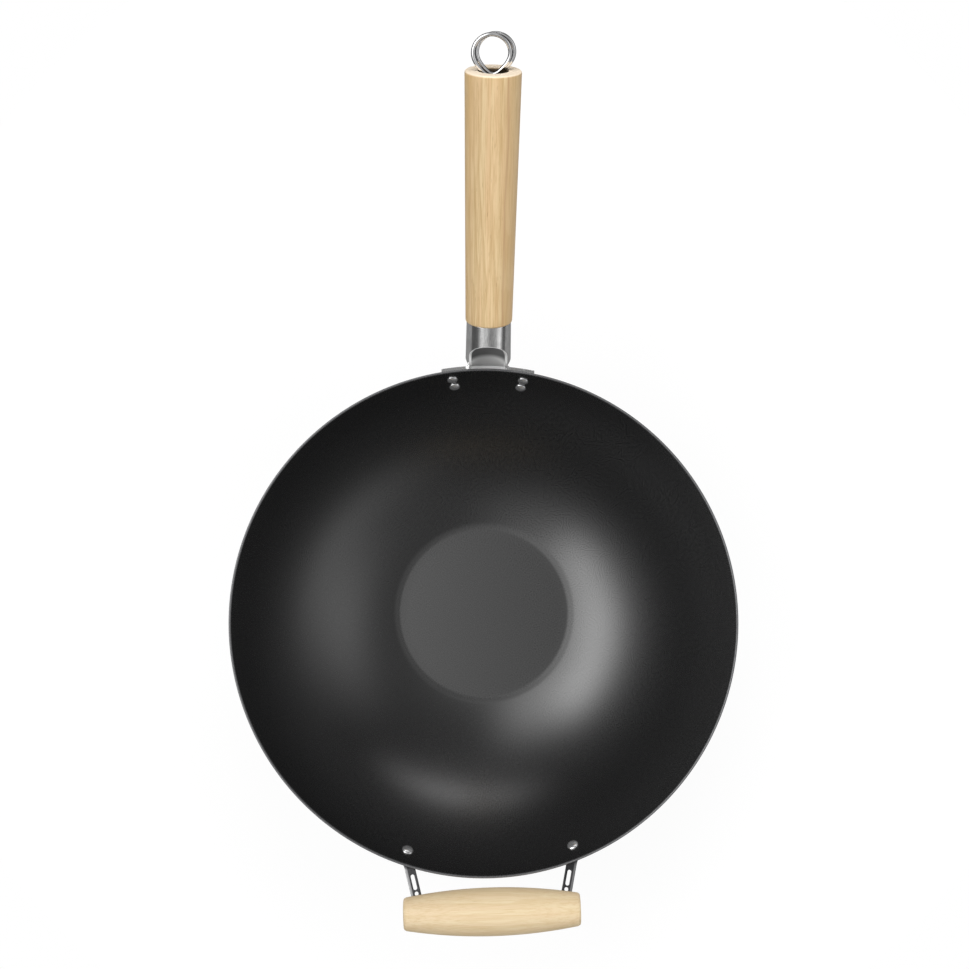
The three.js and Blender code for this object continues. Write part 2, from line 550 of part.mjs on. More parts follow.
// Legs: foot on the wall, twisted bend, slotted arm with a folded outer edge, tang in the grip
const up = new THREE.Vector3(0, 0, 1);
const helperParts = [-1, 1].map((side) => {
  const seat = onWall(side * rad(HELPER_RIVET_ANGLE) - Math.PI / 2, helperPolar, CLEAR + LEG_THICK / 2);
  const target = gripPlace.clone().setX((side * LEG_SPACING) / 2);
  const heading = target.clone().sub(seat.place).setZ(0).normalize();
  const climb = heading.clone().addScaledVector(up, -heading.dot(seat.normal) / seat.normal.z).normalize();
  const footAt = (share) => seat.place.clone().addScaledVector(climb, share * FOOT_LENGTH);
  const bend = footAt(1);
  const arm = target.clone().sub(bend).normalize();
  const reach = target.distanceTo(bend);
  const armAt = (s) => bend.clone().addScaledVector(arm, s);
  const armAcross = new THREE.Vector3().crossVectors(up, heading);
  const footAcross = new THREE.Vector3().crossVectors(climb, seat.normal);
  const armFace = new THREE.Vector3().crossVectors(arm, armAcross);
  const station = (centre, blend, width) => {
    const forward = climb.clone().lerp(arm, blend).normalize();
    const face = footAcross.clone().lerp(armAcross, blend).cross(forward).negate().normalize();
    const across = new THREE.Vector3().crossVectors(face, forward);
    return { centre, across, face, width, thick: LEG_THICK };
  };
  const curve = new THREE.QuadraticBezierCurve3(footAt(0.55), bend, armAt(LEG_BEND_RUN));
  const bends = [0, 1, 2, 3, 4, 5, 6].map((i) => i / 6);
  let leg = solid(strip([
    station(footAt(-0.95), 0, FOOT_WIDTH * 0.55),
    station(footAt(-0.7), 0, FOOT_WIDTH * 0.9),
    station(footAt(-0.3), 0, FOOT_WIDTH),
    station(footAt(0.4), 0, FOOT_WIDTH),
    ...bends.map((t) => station(curve.getPoint(t), t, THREE.MathUtils.lerp(FOOT_WIDTH, LEG_WIDTH, t))),
    station(armAt(reach + TANG_PAST_AXIS), 1, LEG_WIDTH),
  ]));

  // Folded edge on the outer side of the arm, run out before the bend and before the wood
  const outside = Math.sign(armAcross.x) * side;
  const under = -Math.sign(armFace.z);
  const skin = reach - gripRadius(LEG_SPACING / 2);
  const edgeAt = (s, depth) => ({
    centre: armAt(s)
      .addScaledVector(armAcross, (outside * (LEG_WIDTH - FLANGE_THICK)) / 2)
      .addScaledVector(armFace, (under * (depth - LEG_THICK)) / 2),
    across: armAcross,
    face: armFace,
    width: FLANGE_THICK,
    thick: depth,
  });
  leg = leg.add(solid(strip([
    edgeAt(FLANGE_START, LEG_THICK / 2),
    edgeAt(FLANGE_START + FLANGE_RUNOUT, FLANGE_DEPTH),
    edgeAt(skin - FLANGE_RUNOUT / 2 - CLEAR, FLANGE_DEPTH),
    edgeAt(skin - CLEAR, LEG_THICK / 2),
  ])));

  // Long slot, bridge and short slot at the wood, holes for the rivet and the screw
  const armFrame = (s, shift) => new THREE.Matrix4()
    .makeBasis(armAcross, arm, new THREE.Vector3().crossVectors(armAcross, arm))
    .setPosition(armAt(s).addScaledVector(armAcross, -outside * shift));
  const eyeletLow = skin - EYELET_SHOWN;
  const slotMiddle = eyeletLow - SLOT_BRIDGE - SLOT_LENGTH / 2;
  const through = 4 * FLANGE_DEPTH;
  const lift = { place: target, normal: armFace.clone().multiplyScalar(-under) };
  const slot = plate(slotShape(SLOT_LENGTH, SLOT_WIDTH), through, armFrame(slotMiddle, SLOT_INSET));
  const eyelet = plate(
    slotShape(EYELET_LENGTH, SLOT_WIDTH),
    through,
    armFrame(eyeletLow + EYELET_LENGTH / 2, SLOT_INSET),
  );
  leg = leg
    .subtract(solid(slot))
    .subtract(solid(eyelet))
    .subtract(rivetHole(seat))
    .subtract(solid(along(rod(SCREW_RADIUS + CLEAR, -SCREW_SEAT, SCREW_SEAT), lift)));

  // Mortise, pilot and counterbore in the grip, and the screw from below
  const mortiseLow = skin - GRIP_ROUND - LEG_WIDTH;
  const mortiseHigh = reach + TANG_PAST_AXIS + 2 * CLEAR;
  const mortiseDeep = mortiseHigh - mortiseLow;
  const mortise = new THREE.BoxGeometry(LEG_WIDTH + 2 * CLEAR, mortiseDeep, LEG_THICK + 2 * CLEAR)
    .applyMatrix4(armFrame(mortiseLow + mortiseDeep / 2, 0));
  const tip = SCREW_LENGTH - SCREW_SEAT;
  grip = grip
    .subtract(solid(mortise))
    .subtract(solid(along(rod(SCREW_RADIUS + CLEAR, -SCREW_SEAT, tip + CLEAR), lift)))
    .subtract(solid(along(rod(SCREW_HEAD_RADIUS + CLEAR, -2 * GRIP_MID_RADIUS, -SCREW_SEAT), lift)));
  const seatTop = -SCREW_SEAT - CLEAR;
  const screw = closed(along(turned([
    [0, seatTop - SCREW_HEAD_THICK],
    [SCREW_HEAD_RADIUS * 0.7, seatTop - SCREW_HEAD_THICK * 0.92],
    [SCREW_HEAD_RADIUS, seatTop - SCREW_HEAD_THICK * 0.4],
    [SCREW_HEAD_RADIUS, seatTop],
    [SCREW_RADIUS, seatTop],
    [SCREW_RADIUS, tip - SCREW_TAPER],
    [0, tip],
  ], SMALL_SEGMENTS), lift));
  return { name: side < 0 ? 'left' : 'right', leg, screw };
});

// Assembly
const wok = new THREE.Group();
wok.name = 'wok';
wok.add(node('wok_bowl', geometryOf(bowl), 0x1c1c1d, 0.2, 0.45));
wok.add(node('handle_bracket', geometryOf(bracket), 0xb9bbbc, 1, 0.3));
handleSeats.forEach((seat, i) => {
  const body = along(rivet(HANDLE_RIVET_HEAD, HANDLE_RIVET_DOME, STRAP_THICK), seat);
  wok.add(node('handle_rivet_' + (i + 1), closed(body), 0xc4c5c6, 1, 0.3));
});
helperSeats.forEach((seat, i) => {
  const body = along(rivet(HELPER_RIVET_HEAD, HELPER_RIVET_DOME, LEG_THICK), seat);
  wok.add(node('helper_rivet_' + helperParts[i].name, closed(body), 0xc4c5c6, 1, 0.3));
});

const handle = new THREE.Group();
handle.name = 'handle';
handle.applyMatrix4(handleFrame);
handle.add(node('long_handle', longHandle, 0xd6b98f, 0, 0.5));
handle.add(node('eye_rod', eyeRod, 0xd9dadb, 1, 0.1));
handle.add(node('rod_washer', washer, 0xb0b2b3, 1, 0.3));
handle.add(node('socket_plug', plug, 0x9a9c9d, 1, 0.4));
handle.add(node('rod_nut', geometryOf(nut), 0x9a9c9d, 1, 0.4));
wok.add(handle);

const helper = new THREE.Group();
helper.name = 'helper';
helper.rotation.z = rad(HELPER_TURN);
helper.add(node('helper_grip', geometryOf(grip), 0xe8d4ac, 0, 0.5));
for (const { name, leg, screw } of helperParts) {
  helper.add(node('helper_leg_' + name, geometryOf(leg), 0x4a4b4c, 1, 0.4));
  helper.add(node('grip_screw_' + name, screw, 0xa8aaab, 1, 0.3));
}
wok.add(helper);

export default wok;
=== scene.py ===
"""A flat-bottomed wok: black bowl, turned wooden handle in a riveted socket, small wooden helper grip."""

import math

import bmesh
import bpy
from mathutils import Matrix, Vector


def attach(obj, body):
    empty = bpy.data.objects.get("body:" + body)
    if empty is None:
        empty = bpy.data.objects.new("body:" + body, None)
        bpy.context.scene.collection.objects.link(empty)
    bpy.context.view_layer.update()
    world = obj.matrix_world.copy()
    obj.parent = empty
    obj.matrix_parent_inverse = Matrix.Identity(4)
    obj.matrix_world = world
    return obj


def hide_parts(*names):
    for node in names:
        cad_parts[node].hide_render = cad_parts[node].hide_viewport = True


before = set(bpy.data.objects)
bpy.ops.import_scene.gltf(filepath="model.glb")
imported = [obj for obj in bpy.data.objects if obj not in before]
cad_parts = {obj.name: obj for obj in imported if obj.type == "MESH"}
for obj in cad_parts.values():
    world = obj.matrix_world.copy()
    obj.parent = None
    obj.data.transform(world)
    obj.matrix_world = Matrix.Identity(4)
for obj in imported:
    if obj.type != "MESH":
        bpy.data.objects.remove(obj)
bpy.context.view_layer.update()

# Sizes in millimetres and degrees, as the solids have them
MM = 0.001
RIM_RADIUS, BASE_RADIUS, BOWL_HEIGHT, SHEET, BASE_BEND = 178.0, 66.0, 98.5, 1.5, 20.0
HANDLE_RISE, WOOD_START, WOOD_LENGTH = 26.0, 36.2, 171.3
SOCKET_MOUTH, SOCKET_FOOT, SOCKET_WALL = 15.3, 15.7, 1.6
NECK_HALF, NECK_FOOT, NECK_TOP = 13.6, 2.5, 8.5
ARCH_APEX, ARCH_HALF, ARCH_CROWN, FLARE_BEND = 22.0, 12.9, 9.5, 2.7
STRAP_THICK, STRAP_HALF, STRAP_FOOT_HALF = 2.6, 33.0, 31.0
STRAP_TOP, STRAP_WING, STRAP_LOBE, STRAP_LOBE_HALF, STRAP_CORNER = 0.8, 26.0, 34.0, 9.0, 5.0
HANDLE_RIVETS = ((9.5, 25.0), (18.5, 23.5))
WOOD_SHOULDER, WOOD_END_RADIUS, WOOD_BEVEL, WOOD_ROUND = 0.8, 18.6, 1.3, 1.4
TENON_LENGTH, TENON_BEVEL, RECESS_RADIUS, RECESS_DEPTH, RECESS_LIP = 10.0, 0.8, 10.15, 9.5, 0.4
WIRE_RADIUS, EYE_RADIUS, EYE_SINK, EYE_NECK_DROP, EYE_NECK_SHARPNESS = 1.35, 11.35, 2.45, 3.0, 15
TURN_SHIFT, TURN_GAP, TAIL_LENGTH, EYE_START = 2.5, 0.55, 1.6, 0.2
WASHER_THICK, PLUG_THICK, NUT_THICK, ROD_TIP = 1.2, 3.0, 3.0, 2.0
HELPER_TURN, HELPER_RIVET_ANGLE, HELPER_RIVET_DROP = 2.7, 20.1, 14.7
GRIP_STANDOFF, GRIP_RISE, GRIP_LENGTH, GRIP_MID, GRIP_END, GRIP_ROUND = 22.5, 4.0, 123.0, 16.5, 11.1, 1.6
LEG_SPACING, LEG_WIDTH, LEG_THICK, LEG_BEND_RUN = 99.5, 7.3, 1.5, 6.0
FOOT_WIDTH, FOOT_LENGTH, TANG_PAST_AXIS = 10.5, 7.0, 5.5
SLOT_WIDTH, SLOT_LENGTH, SLOT_INSET, SLOT_BRIDGE = 2.7, 11.0, 0.5, 1.1
EYELET_LENGTH, EYELET_SHOWN = 3.0, 2.5
FLANGE_DEPTH, FLANGE_THICK, FLANGE_START, FLANGE_RUNOUT = 3.4, 1.2, 7.0, 4.0
SCREW_HEAD, SCREW_SEAT, MORTISE_PLAY = 3.3, 8.5, 0.15
RIVET_SHANK, CLEAR, TOUCH = 2.3, 0.35, 0.04
HANDLE_HEAD, HANDLE_DOME, HELPER_HEAD, HELPER_DOME, HEAD_EASE = 3.8, 1.1, 4.1, 1.5, 0.1

# How finely the meshes are cut, and how far the cutting tools reach
BOWL_SEGMENTS, TURNED_SEGMENTS, RIVET_SEGMENTS, WIRE_SIDES = 288, 144, 48, 28
WALL_STEPS, BEND_STEPS, ROUND_STEPS, QUARTER_STEPS, SOCKET_SIDES = 56, 10, 8, 12, 144
STRAP_SWINGS, STRAP_STEPS, LOBE_STEPS, CROWN_STEPS, LEG_STEPS, ARCH_FOOT = (76, 104), 60, 16, 48, 32, -16
TURN_POINTS, POINT_STEPS, LEG_BEND_STEPS, FLOOR_SIDES = 72, 6, 24, 128
SLOT_CUT, PRESS_GRAIN, PRESS_ROUNDS = 14, 0.22, 8
LID_CORNERS, LID_DEPTH = ((-60, 100), (60, 100), (60, 260), (-60, 260)), 80
TRIM_STEPS, TRIM_START, TRIM_TOP, TRIM_INNER = 40, 30, 180, 60
CORNERS = ((-1, -1), (1, -1), (1, 1), (-1, 1))

rad = math.radians
CENTRE_HEIGHT = (BOWL_HEIGHT + (RIM_RADIUS**2 - BASE_RADIUS**2) / BOWL_HEIGHT) / 2
WALL_RADIUS = math.hypot(CENTRE_HEIGHT, BASE_RADIUS)
RIM_ANGLE = math.asin(RIM_RADIUS / WALL_RADIUS)
FLAT_RADIUS = math.sqrt((WALL_RADIUS - BASE_BEND) ** 2 - (CENTRE_HEIGHT - BASE_BEND) ** 2)
BEND_ANGLE = math.asin(FLAT_RADIUS / (WALL_RADIUS - BASE_BEND))
WOOD_END = WOOD_START + WOOD_LENGTH
HANDLE_FRAME = Matrix.Translation((0, RIM_RADIUS, BOWL_HEIGHT)) @ Matrix.Rotation(rad(HANDLE_RISE), 4, "X")
HANDLE_SPIN = HANDLE_FRAME @ Matrix.Rotation(rad(-90), 4, "X")
HELPER_FRAME = Matrix.Rotation(rad(HELPER_TURN), 4, "Z")
GRIP_PLACE = Vector((0, -RIM_RADIUS - GRIP_STANDOFF, BOWL_HEIGHT + GRIP_RISE))
UP = Vector((0, 0, 1))


# Mesh tools
def lerp(a, b, t):
    return a + (b - a) * t


def smooth_step(x, low, high):
    t = min(1.0, max(0.0, (x - low) / (high - low)))
    return t * t * (3 - 2 * t)


def arc(cx, cy, radius, start, end, steps):
    """Points on a circle, angles counted from straight down."""
    turns = [lerp(start, end, i / steps) for i in range(steps + 1)]
    return [(cx + radius * math.sin(t), cy - radius * math.cos(t)) for t in turns]


def linked(name, data):
    made = bpy.data.objects.new(name, data)
    bpy.context.scene.collection.objects.link(made)
    return made


def face_out(mesh):
    """Merges doubled points and turns every face outward."""
    shape = bmesh.new()
    shape.from_mesh(mesh)
    bmesh.ops.remove_doubles(shape, verts=shape.verts, dist=1e-5)
    bmesh.ops.recalc_face_normals(shape, faces=shape.faces)
    shape.to_mesh(mesh)
    shape.free()


def block(name, points, faces):
    """A closed mesh from its corners, in millimetres."""
    mesh = bpy.data.meshes.new(name)
    mesh.from_pydata([tuple(p) for p in points], [], faces)
    face_out(mesh)
    return linked(name, mesh)


def loft(name, rings):
    """A closed solid through rings of equal count, capped at both ends."""
    count, last = len(rings[0]), (len(rings) - 1) * len(rings[0])
    faces = [
        (k + i, k + (i + 1) % count, k + count + (i + 1) % count, k + count + i)
        for k in range(0, last, count)
        for i in range(count)
    ]
    faces += [tuple(range(count))[::-1], tuple(range(last, last + count))]
    return block(name, [p for ring in rings for p in ring], faces)


def prism(name, outline, frame_matrix, depth):
    """A flat outline carried to both sides of its plane."""
    sides = (-depth / 2, depth / 2)
    return loft(name, [[frame_matrix @ Vector((x, y, z)) for x, y in outline] for z in sides])


def circle(count):
    return [2 * math.pi * i / count for i in range(count)]


def slot_outline(length, width, steps=14):
    run = length / 2 - width / 2
    turns = [math.pi * i / steps for i in range(steps + 1)]
    ends = [(width / 2 * math.cos(t), run + width / 2 * math.sin(t)) for t in turns]
    return ends + [(-x, -y) for x, y in ends]


def plain(obj, name):
    """The evaluated shape of an object as a plain mesh piece."""
    depsgraph = bpy.context.evaluated_depsgraph_get()
    mesh = bpy.data.meshes.new_from_object(obj.evaluated_get(depsgraph))
    mesh.name = name
    bpy.data.objects.remove(obj)
    return linked(name, mesh)


def joined(base, *steps):
    """Cuts and joins of closed solids, one after another."""
    for operation, tool in steps:
        change = base.modifiers.new(operation.lower(), "BOOLEAN")
        change.operation, change.solver, change.object = operation, "EXACT", tool
    made = plain(base, base.name)
    for _, tool in steps:
        bpy.data.objects.remove(tool)
    return made


def pressed(obj, grain, rounds):
    """Re-skins a joined solid evenly and eases its edges, as pressing and tumbling leave sheet metal."""
    skin = obj.modifiers.new("skin", "REMESH")
    skin.mode, skin.voxel_size, skin.use_smooth_shade = "VOXEL", grain, True
    ease = obj.modifiers.new("ease", "SMOOTH")
    ease.factor, ease.iterations = 0.5, rounds
    return plain(obj, obj.name)


def shaded(obj, sharp=40):
    obj.data.shade_smooth()
    obj.data.set_sharp_from_angle(angle=rad(sharp))
    return obj


def seated(obj, matrix=Matrix.Identity(4)):
    """Moves a piece from millimetres in its own axes to metres in the shared frame."""
    obj.data.transform(Matrix.Scale(MM, 4) @ matrix)
    obj.data.update()
    return obj


def handed_in(obj, finish, slot, *nodes):
    obj.data.materials.clear()
    obj.data.materials.append(finish)
    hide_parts(*nodes)
    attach(obj, "root")
    return obj


# Node tools
def add(tree, kind, inputs=None, **settings):
    """A node with its settings, its inputs linked or set."""
    made = tree.nodes.new(kind)
    for key, value in settings.items():
        setattr(made, key, value)
    for key, value in (inputs or {}).items():
        if isinstance(value, bpy.types.NodeSocket):
            tree.links.new(value, made.inputs[key])
        else:
            made.inputs[key].default_value = value
    return made


def calc(tree, operation, *values):
    return add(tree, "ShaderNodeMath", dict(enumerate(values)), operation=operation).outputs[0]


def times(tree, first, second):
    return calc(tree, "MULTIPLY", first, second)


def minus(tree, first, second):
    return calc(tree, "SUBTRACT", first, second)


def split(tree, where):
    return add(tree, "ShaderNodeSeparateXYZ", {0: where}).outputs


def flat_length(tree, x, y):
    """Length of a vector in a plane."""
    return vector(tree, "LENGTH", add(tree, "ShaderNodeCombineXYZ", {0: x, 1: y}).outputs[0])


def vector(tree, operation, *values):
    made = add(tree, "ShaderNodeVectorMath", dict(enumerate(values)), operation=operation)
    return made.outputs["Value" if operation in ("LENGTH", "DISTANCE", "DOT_PRODUCT") else "Vector"]


def fitted(tree, value, low, high, to_low=0.0, to_high=1.0):
    """A value eased from one range to another."""
    inputs = {"Value": value, 1: low, 2: high, 3: to_low, 4: to_high}
    return add(tree, "ShaderNodeMapRange", inputs, interpolation_type="SMOOTHSTEP").outputs["Result"]


def blended(tree, share, first, second):
    return add(tree, "ShaderNodeMix", {0: share, 6: first, 7: second}, data_type="RGBA").outputs[2]


def noise(tree, where, scale, detail=2.0, rough=0.5):
    inputs = {"Vector": where, "Scale": scale, "Detail": detail, "Roughness": rough}
    return add(tree, "ShaderNodeTexNoise", inputs).outputs["Fac"]


def drawn_noise(tree, where, stretch, detail=2.0, rough=0.5):
    """Noise drawn out differently along each axis."""
    return noise(tree, vector(tree, "MULTIPLY", where, stretch), 1.0, detail, rough)


def from_axis(tree, where):
    """Distance from the Y axis."""
    return vector(tree, "LENGTH", vector(tree, "MULTIPLY", where, (1.0, 0.0, 1.0)))


def open_tree(name, kind, inputs, outputs):
    """A node group with named sockets; returns the tree, its inputs and its output node."""
    tree = bpy.data.node_groups.new(name, kind)
    for way, sockets in (("INPUT", inputs), ("OUTPUT", outputs)):
        for label, socket in sockets.items():
            tree.interface.new_socket(label, in_out=way, socket_type="NodeSocket" + socket)
    return tree, tree.nodes.new("NodeGroupInput").outputs, tree.nodes.new("NodeGroupOutput")


# Geometry Nodes: turned pieces, rivets on their seats, wire along a path
SHAPE = {"Geometry": "Geometry"}


def finish_tree(tree, shape, material, out):
    eased = add(tree, "GeometryNodeSetShadeSmooth", {"Geometry": shape})
    real = add(tree, "GeometryNodeRealizeInstances", {"Geometry": eased.outputs[0]})
    coat = add(tree, "GeometryNodeSetMaterial", {"Geometry": real.outputs[0], "Material": material})
    tree.links.new(coat.outputs[0], out.inputs[0])


def turned_tree():
    """Turns a profile of points, radius on X and height on Z, about the Z axis."""
    inputs = {"Profile": "Geometry", "Segments": "Int", "Material": "Material"}
    tree, given, out = open_tree("turned_piece", "GeometryNodeTree", inputs, SHAPE)
    size = add(tree, "GeometryNodeAttributeDomainSize", {"Geometry": given["Profile"]}, component="MESH")
    around = calc(tree, "ADD", given["Segments"], 1.0)
    counts = {"Vertices X": size.outputs["Point Count"], "Vertices Y": around}
    grid = add(tree, "GeometryNodeMeshGrid", counts)
    index = add(tree, "GeometryNodeInputIndex").outputs[0]
    station = calc(tree, "FLOOR", calc(tree, "DIVIDE", calc(tree, "ADD", index, 0.5), around))
    share = calc(tree, "DIVIDE", calc(tree, "MODULO", index, around), given["Segments"])
    turn = times(tree, share, 2 * math.pi)
    place = add(tree, "GeometryNodeInputPosition").outputs[0]
    sample = {"Geometry": given["Profile"], "Value": place, "Index": station}
    point = add(tree, "GeometryNodeSampleIndex", sample, data_type="FLOAT_VECTOR").outputs[0]
    spun = add(tree, "ShaderNodeVectorRotate", {"Vector": point, "Angle": turn}, rotation_type="Z_AXIS")
    shift = {"Geometry": grid.outputs["Mesh"], "Position": spun.outputs[0]}
    moved = add(tree, "GeometryNodeSetPosition", shift)
    sealed = add(tree, "GeometryNodeMergeByDistance", {"Geometry": moved.outputs[0], "Distance": 1e-4})
    finish_tree(tree, sealed.outputs[0], given["Material"], out)
    return tree


def rivet_tree(turned):
    """Turns one rivet from its profile and sets a copy on every seat, along the seat's normal."""
    inputs = {"Profile": "Geometry", "Seats": "Object", "Segments": "Int", "Material": "Material"}
    tree, given, out = open_tree("rivet_set", "GeometryNodeTree", inputs, SHAPE)
    passed = {key: given[key] for key in ("Profile", "Segments", "Material")}
    body = add(tree, "GeometryNodeGroup", passed, node_tree=turned)
    seats = add(tree, "GeometryNodeObjectInfo", {"Object": given["Seats"]})
    normal = add(tree, "GeometryNodeInputNamedAttribute", {"Name": "seat_normal"}, data_type="FLOAT_VECTOR")
    facing = add(tree, "FunctionNodeAlignRotationToVector", {"Vector": normal.outputs[0]}, axis="Z")
    parts = {"Points": seats.outputs["Geometry"], "Instance": body.outputs[0]}
    placed = add(tree, "GeometryNodeInstanceOnPoints", {**parts, "Rotation": facing.outputs[0]})
    finish_tree(tree, placed.outputs[0], given["Material"], out)
    return tree


def wire_tree():
    """Draws a round wire along a path, both ends closed."""
    inputs = {"Path": "Geometry", "Wire Radius": "Float", "Sides": "Int", "Material": "Material"}
    tree, given, out = open_tree("drawn_wire", "GeometryNodeTree", inputs, SHAPE)
    round_wire = {"Resolution": given["Sides"], "Radius": given["Wire Radius"]}
    section = add(tree, "GeometryNodeCurvePrimitiveCircle", round_wire, mode="RADIUS")
    run = {"Curve": given["Path"], "Profile Curve": section.outputs[0], "Fill Caps": True}
    tube = add(tree, "GeometryNodeCurveToMesh", run)
    finish_tree(tree, tube.outputs[0], given["Material"], out)
    return tree


def grown(obj, tree, name, **values):
    """Runs a Geometry Nodes tree on an object with its inputs set, and keeps the plain mesh."""
    change = obj.modifiers.new(tree.name, "NODES")
    change.node_group = tree
    for item in tree.interface.items_tree:
        key = item.name.replace(" ", "_").lower()
        if item.in_out == "INPUT" and key in values:
            change[item.identifier] = values[key]
    obj.data.update_tag()
    made = plain(obj, name)
    face_out(made.data)
    return made


def profile(points):
    mesh = bpy.data.meshes.new("profile")
    mesh.from_pydata([(r, 0, z) for r, z in points], [], [])
    return linked("profile", mesh)


# Finishes
SURFACE = {"Color": "Color", "Roughness": "Float", "Height": "Float"}


def wood_grain():
    """Solid wood, its grain along Y: growth rings about a heart line, fibre, pores, slow change of tint."""
    inputs = {"Vector": "Vector", "Heart": "Vector", "Pale": "Color", "Deep": "Color", "Flush": "Color"}
    for label in ("Ring Pitch", "Ring Strength", "Fibre Strength", "Pore Strength"):
        inputs[label] = "Float"
    tree, given, out = open_tree("wood_grain", "ShaderNodeTree", inputs, SURFACE)
    where = given["Vector"]
    sway = drawn_noise(tree, where, (0.035, 0.006, 0.035), 3.0)
    reach = from_axis(tree, vector(tree, "SUBTRACT", where, given["Heart"]))
    reach = calc(tree, "ADD", reach, times(tree, sway, 22.0))
    phase = calc(tree, "FRACT", calc(tree, "DIVIDE", reach, given["Ring Pitch"]))
    late = times(tree, fitted(tree, phase, 0.25, 0.9), fitted(tree, phase, 0.9, 1.0, 1.0, 0.0))
    fibre = drawn_noise(tree, where, (1.5, 0.03, 1.5), 4.0, 0.65)
    drawn = vector(tree, "MULTIPLY", where, (0.9, 0.085, 0.9))
    cells = add(tree, "ShaderNodeTexVoronoi", {"Vector": drawn, "Scale": 1.0}).outputs["Distance"]
    patch = drawn_noise(tree, where, (0.09, 0.02, 0.09))
    pores = times(tree, fitted(tree, cells, 0.08, 0.2, 1.0, 0.0), fitted(tree, patch, 0.42, 0.62))
    tint = fitted(tree, drawn_noise(tree, where, (0.24, 0.006, 0.24)), 0.36, 0.64)
    ground = blended(tree, times(tree, late, given["Ring Strength"]), given["Pale"], given["Deep"])
    ground = blended(tree, times(tree, tint, 0.7), ground, given["Flush"])
    streak = times(tree, fitted(tree, fibre, 0.4, 0.68), given["Fibre Strength"])
    ground = blended(tree, streak, ground, given["Deep"])
    hole = times(tree, pores, given["Pore Strength"])
    dark = vector(tree, "MULTIPLY", given["Deep"], (0.55, 0.5, 0.45))
    tree.links.new(blended(tree, hole, ground, dark), out.inputs["Color"])
    tree.links.new(fitted(tree, fibre, 0.2, 0.8, 0.4, 0.56), out.inputs["Roughness"])
    tree.links.new(minus(tree, fibre, times(tree, pores, 0.8)), out.inputs["Height"])
    return tree


def worked_metal():
    """Fine draw marks along Y and slow mottling of a worked metal surface."""
    inputs = {"Vector": "Vector", "Bright": "Color", "Dull": "Color"}
    inputs |= {"Smoothest": "Float", "Roughest": "Float"}
    tree, given, out = open_tree("worked_metal", "ShaderNodeTree", inputs, SURFACE)
    where = given["Vector"]
    marks = drawn_noise(tree, where, (4.0, 0.12, 4.0), 3.0, 0.6)
    mottle = drawn_noise(tree, where, (0.3, 0.16, 0.3), 3.0, 0.55)
    both = calc(tree, "ADD", times(tree, marks, 0.55), times(tree, mottle, 0.45))
    colour = blended(tree, fitted(tree, both, 0.35, 0.65), given["Bright"], given["Dull"])
    tree.links.new(colour, out.inputs["Color"])
    span = {"Value": both, 1: 0.3, 2: 0.7, 3: given["Smoothest"], 4: given["Roughest"]}
    rough = add(tree, "ShaderNodeMapRange", span)
    tree.links.new(rough.outputs["Result"], out.inputs["Roughness"])
    tree.links.new(marks, out.inputs["Height"])
    return tree


def metal_values(bright, dull, smoothest, roughest):
    return {"Bright": (*bright, 1), "Dull": (*dull, 1), "Smoothest": smoothest, "Roughest": roughest}


def own_axes(tree, place=(0, 0, 0), turn=(0, 0, 0)):
    """Object coordinates in millimetres, in a piece's own place and turn."""
    where = add(tree, "ShaderNodeTexCoord").outputs["Object"]
    inputs = {"Vector": where, "Location": place, "Rotation": turn, "Scale": (MM, MM, MM)}
    return add(tree, "ShaderNodeMapping", inputs, vector_type="TEXTURE").outputs[0]


def finish_of(name, **uniform):
    """A material with a Principled shader; returns it with its tree and shader."""
    made = bpy.data.materials.new(name)
    made.use_nodes = True
    shader = made.node_tree.nodes["Principled BSDF"]
    for key, value in uniform.items():
        shader.inputs[key.replace("_", " ")].default_value = value
    return made, made.node_tree, shader


def raised(tree, shader, height, depth, eased=0.0):
    """Relief on a surface, over edges eased by a small radius where one is given."""
    bump = add(tree, "ShaderNodeBump", {"Strength": 1.0, "Distance": depth, "Height": height})
    if eased:
        edge = add(tree, "ShaderNodeBevel", {"Radius": eased}, samples=4)
        tree.links.new(edge.outputs[0], bump.inputs["Normal"])
    tree.links.new(bump.outputs[0], shader.inputs["Normal"])


def grouped_finish(name, group, where, values, depth, tone=None, **uniform):
    """A material whose colour, roughness and relief come from a shared effect with its own values."""
    made, tree, shader = finish_of(name, **uniform)
    place = own_axes(tree, *where)
    effect = add(tree, "ShaderNodeGroup", {"Vector": place, **values}, node_tree=group)
    colour = tone(tree, place, effect.outputs["Color"]) if tone else effect.outputs["Color"]
    tree.links.new(colour, shader.inputs["Base Color"])
    tree.links.new(effect.outputs["Roughness"], shader.inputs["Roughness"])
    raised(tree, shader, effect.outputs["Height"], depth)
    return made


